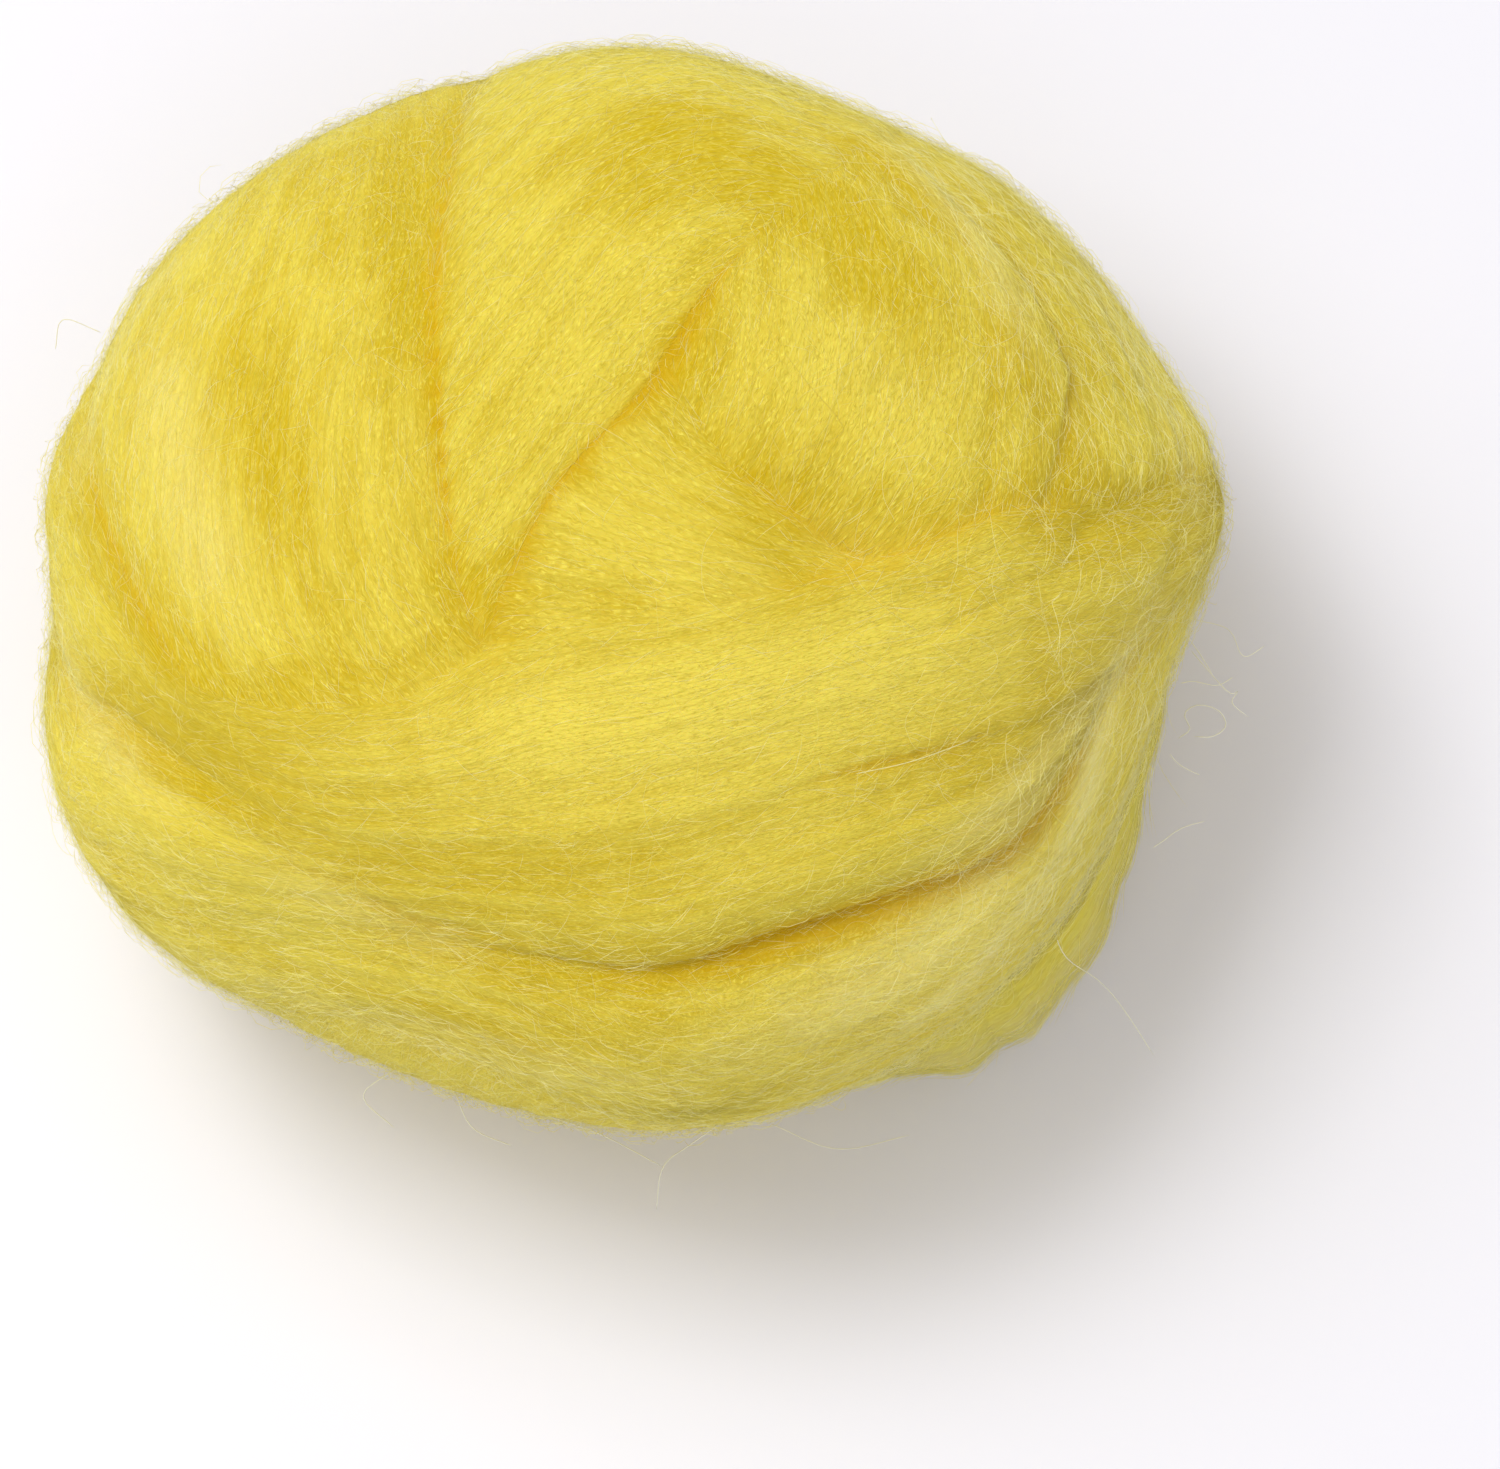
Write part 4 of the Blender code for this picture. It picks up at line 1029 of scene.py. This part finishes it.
places = []
for _, _, lift, *marks in CLEAR_STRAYS:
    line = smooth_line(np.array([seen_place(*mark, lift) for mark in marks]))
    steps = np.linspace(0, len(line) - 1, CLEAR_POINTS)
    places.append(np.stack([np.interp(steps, np.arange(len(line)), column) for column in line.T], 1))
places = np.array(places)
outs = np.broadcast_to(np.array(toward_eye), places.shape)
tones, thickness = np.array([row[:2] for row in CLEAR_STRAYS]).T
onto_ball(hairs("clear_strays", places, outs, thickness, tones))


# ---- The loose end ----
# The last stretch of the wool, drawn out thin and frayed, so that light comes through it. It leaves the ball on the
# right, hangs against it round to the front, and isn't tucked in.

END_THICK, END_GAP = 1.1, 0.6
END_CUTS = (150, 30)
END_TUCK = math.radians(-10.0)              # its inner edge lies this far behind the seen outline
END_WIDEST, END_CURL, END_LEAN = 0.7, 1.5, 0.6
END_FLAT = (0.031, 0.106)
# Its outer edge as it goes round: bearing degrees, stand-out mm, drop mm
END_EDGE = (
    (358, 0, 9), (349, 0.8, 20), (340, 2.6, 25), (330, 5.0, 28), (320, 8.2, 29),
    (313, 9.6, 30), (306, 7.2, 29), (299, 2.6, 27), (292, 0.6, 21), (286, 0, 10),
)
# Waves in its outer edge: outwards mm, downwards mm, turn over its length, start
END_WAVES = ((0.8, 1.0, 21, 0), (0.5, -0.8, 47, 1))
ball_centre = Vector(PART_ORIGIN) * -MM


def end_place(along, across):
    """A place on the loose end's middle surface."""
    steps = np.linspace(0, 1, len(END_EDGE))
    bearing, stand_out, drop = (np.interp(along, steps, column) for column in np.array(END_EDGE).T)
    turn = math.radians(bearing)
    outward = (math.cos(turn), math.sin(turn), 0)
    start = (math.cos(turn) * math.cos(END_TUCK), math.sin(turn) * math.cos(END_TUCK), math.sin(END_TUCK))
    outward, start, away = map(Vector, ball_from_seen(np.array((outward, start, (0, 0, -1)))))
    hit, normal, _, _ = ball_tree.ray_cast(ball_centre, start)
    root = hit + normal * (END_THICK / 2 + END_GAP) * MM
    for outwards, downwards, turns, begin in END_WAVES:
        wave = math.sin(along * turns + begin) * across
        stand_out += outwards * wave
        drop += downwards * wave
    curl = math.sin(across * math.pi / 2 / END_WIDEST) ** END_CURL
    return root + (outward * (stand_out * curl + END_LEAN * across) + away * drop * across) * MM


bpy.ops.object.select_all(action="DESELECT")
bpy.ops.mesh.primitive_grid_add(x_subdivisions=END_CUTS[0], y_subdivisions=END_CUTS[1], size=2)
loose = bpy.context.active_object
loose.name = "loose_wool_end"
flat = (points_of(loose.data)[:, :2] + 1) / 2
end_places = np.array([end_place(along, across) for along, across in flat.tolist()])
loose.data.vertices.foreach_set("co", end_places.ravel())
drawn = np.column_stack((flat[:, 0] * END_FLAT[1] / MM, flat[:, 1] * END_FLAT[0] / MM, np.zeros(len(flat))))
store(loose.data, "drawn_lay", drawn, kind="FLOAT_VECTOR")
store(loose.data, "to_edge", flat[:, 1])
store(loose.data, "along", flat[:, 0])
bpy.ops.object.modifier_add(type="SOLIDIFY")
loose.modifiers[-1].thickness = END_THICK * MM
loose.modifiers[-1].offset = 0
bpy.ops.object.modifier_apply(modifier=loose.modifiers[-1].name)
loose.data.shade_smooth()

THIN_DEEP = (0.76, 0.63, 0.02)
THIN_PALE = (0.84, 0.75, 0.10)

thin = Nodes("thin_drawn_wool")
lock, fibre, *_ = combed(thin, thin.attribute("drawn_lay", "Vector"))
to_edge, along = thin.attribute("to_edge"), thin.attribute("along")
cover = thin.steps(to_edge, 0.0, 0.80, 0.86, 0.08) + (lock - 0.5) * 0.5 + (fibre - 0.5) * 0.25
cover = cover - (thin.steps(along, 0.0, 0.14, 0.5, 0.0) + thin.steps(along, 0.66, 1.0, 0.0, 0.5))
cover = cover * thin.steps(to_edge, 0.78, 1.0, 1.0, 0.0)
cover = cover * thin.steps(to_edge + (lock - 0.5) * 0.3, 0.0, 0.26)
thin.finish(
    Base_Color=thin.mix(thin.steps(fibre, 0.35, 0.68), THIN_DEEP, THIN_PALE),
    Alpha=thin.math("MAXIMUM", cover, 0.0), Normal=thin.bump(lock + fibre, 0.35),
    Roughness=0.9, Specular_IOR_Level=0.2, Sheen_Weight=0.2, Sheen_Tint=(1.0, 0.90, 0.3),
    Subsurface_Weight=0.25, Subsurface_Radius=(1.0, 0.8, 0.2), Subsurface_Scale=0.003,
)

loose.data.materials.append(thin.material)
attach(loose, "root")
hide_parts("loose_end")


# ---- The loose end's frayed fibres ----
# Fibres drawn out of the loose end along its length. They cross it at small angles, stick out past its edge, and
# are held in it and in the ball at their other ends.

FRAYED, FRAYED_POINTS, FRAYED_THICK = 1800, 6, (0.04, 0.07)
FRAYED_REACH, FRAYED_TILT = (0.05, 0.18), 0.12          # shares of the loose end's length and width
FRAYED_ROWS, FRAYED_ROOT, FRAYED_SPAN = 1.2, 0.25, (-0.3, 1.12)
FRAYED_OFF, FRAYED_RISE = 0.4, 0.7                      # mm

rng = np.random.default_rng(41)
end_grid = end_places.reshape(END_CUTS[1] + 1, END_CUTS[0] + 1, 3)
begin, row = rng.random((2, FRAYED, 1))
reach = rng.uniform(*FRAYED_REACH, (FRAYED, 1))
tilt = rng.normal(0, FRAYED_TILT, (FRAYED, 1))
steps = np.linspace(0, 1, FRAYED_POINTS)[None]
along = (begin + reach * steps).clip(0, 1) * END_CUTS[0]
across = (row * FRAYED_ROWS - FRAYED_ROOT + tilt * steps).clip(*FRAYED_SPAN) * END_CUTS[1]
i, j = across.astype(int).clip(0, END_CUTS[1] - 1), along.astype(int).clip(0, END_CUTS[0] - 1)
down, on = (across - i)[:, :, None], (along - j)[:, :, None]
places = (end_grid[i, j] * (1 - on) + end_grid[i, j + 1] * on) * (1 - down)
places = places + (end_grid[i + 1, j] * (1 - on) + end_grid[i + 1, j + 1] * on) * down
outs = unit(places - np.array(ball_centre))
rise = rng.normal(0, FRAYED_OFF, (FRAYED, 1)) + rng.exponential(FRAYED_RISE, (FRAYED, 1)) * steps ** 2
places = lifted(places, outs, rise)
thickness, tones = rng.uniform(*FRAYED_THICK, FRAYED), rng.uniform(0.2, 1.1, FRAYED)
onto_ball(hairs("frayed_fibres", places, outs, thickness, tones))


# ---- The floor, the light and the camera ----
# A plain white table top under plain soft light from the upper left, seen from 72 degrees above. A weak lamp low on
# the right keeps the shadow pale.

bpy.ops.object.select_all(action="DESELECT")
bpy.ops.mesh.primitive_plane_add(size=6, location=(0, 0, 0))
floor = bpy.context.active_object
floor.name = "table_top"
paper = Nodes("white_paper")
paper.finish(Base_Color=(0.93, 0.925, 0.965), Roughness=0.9, Specular_IOR_Level=0.1)
floor.data.materials.append(paper.material)

world = bpy.data.worlds.new("white_room")
bpy.context.scene.world = world
world.use_nodes = True
sky = world.node_tree.nodes["Background"]
sky.inputs["Color"].default_value = (1, 0.98, 1.03, 1)
sky.inputs["Strength"].default_value = 0.47

# name, place and size in metres, watts
LAMPS = (
    ("soft_box_left", (-0.386, 0.140, 1.188), 0.4, 3.5),
    ("wide_box_left", (-0.48, 0.205, 1.145), 0.8, 5.8),
    ("wide_box_front", (0, -0.771, 0.979), 0.8, 2.0),
    ("low_box_right", (0.85, -0.85, 0.40), 0.8, 1.5),
)
for name, place, size, power in LAMPS:
    bpy.ops.object.light_add(type="AREA", location=place)
    lamp = bpy.context.active_object
    lamp.name = name
    lamp.data.shape = "SQUARE"
    lamp.data.size = size
    lamp.data.energy = power
    lamp.rotation_euler = (-Vector(place)).to_track_quat("-Z", "Y").to_euler()

EYE_AWAY = 1.3
VIEW_WIDE = 0.222       # metres across the picture at the ball
SENSOR_WIDE = 36
aim = Vector((0.0170, 0, 0)) + up_in_view * -0.0021 + toward_eye * 0.062
bpy.ops.object.camera_add(location=aim + toward_eye * EYE_AWAY)
eye = bpy.context.active_object
eye.name = "camera"
eye.rotation_euler = (-toward_eye).to_track_quat("-Z", "Y").to_euler()
eye.data.sensor_width = SENSOR_WIDE
eye.data.lens = SENSOR_WIDE * EYE_AWAY / VIEW_WIDE
eye.data.clip_start = 0.01
bpy.context.scene.camera = eye
bpy.context.scene.view_settings.view_transform = "Standard"
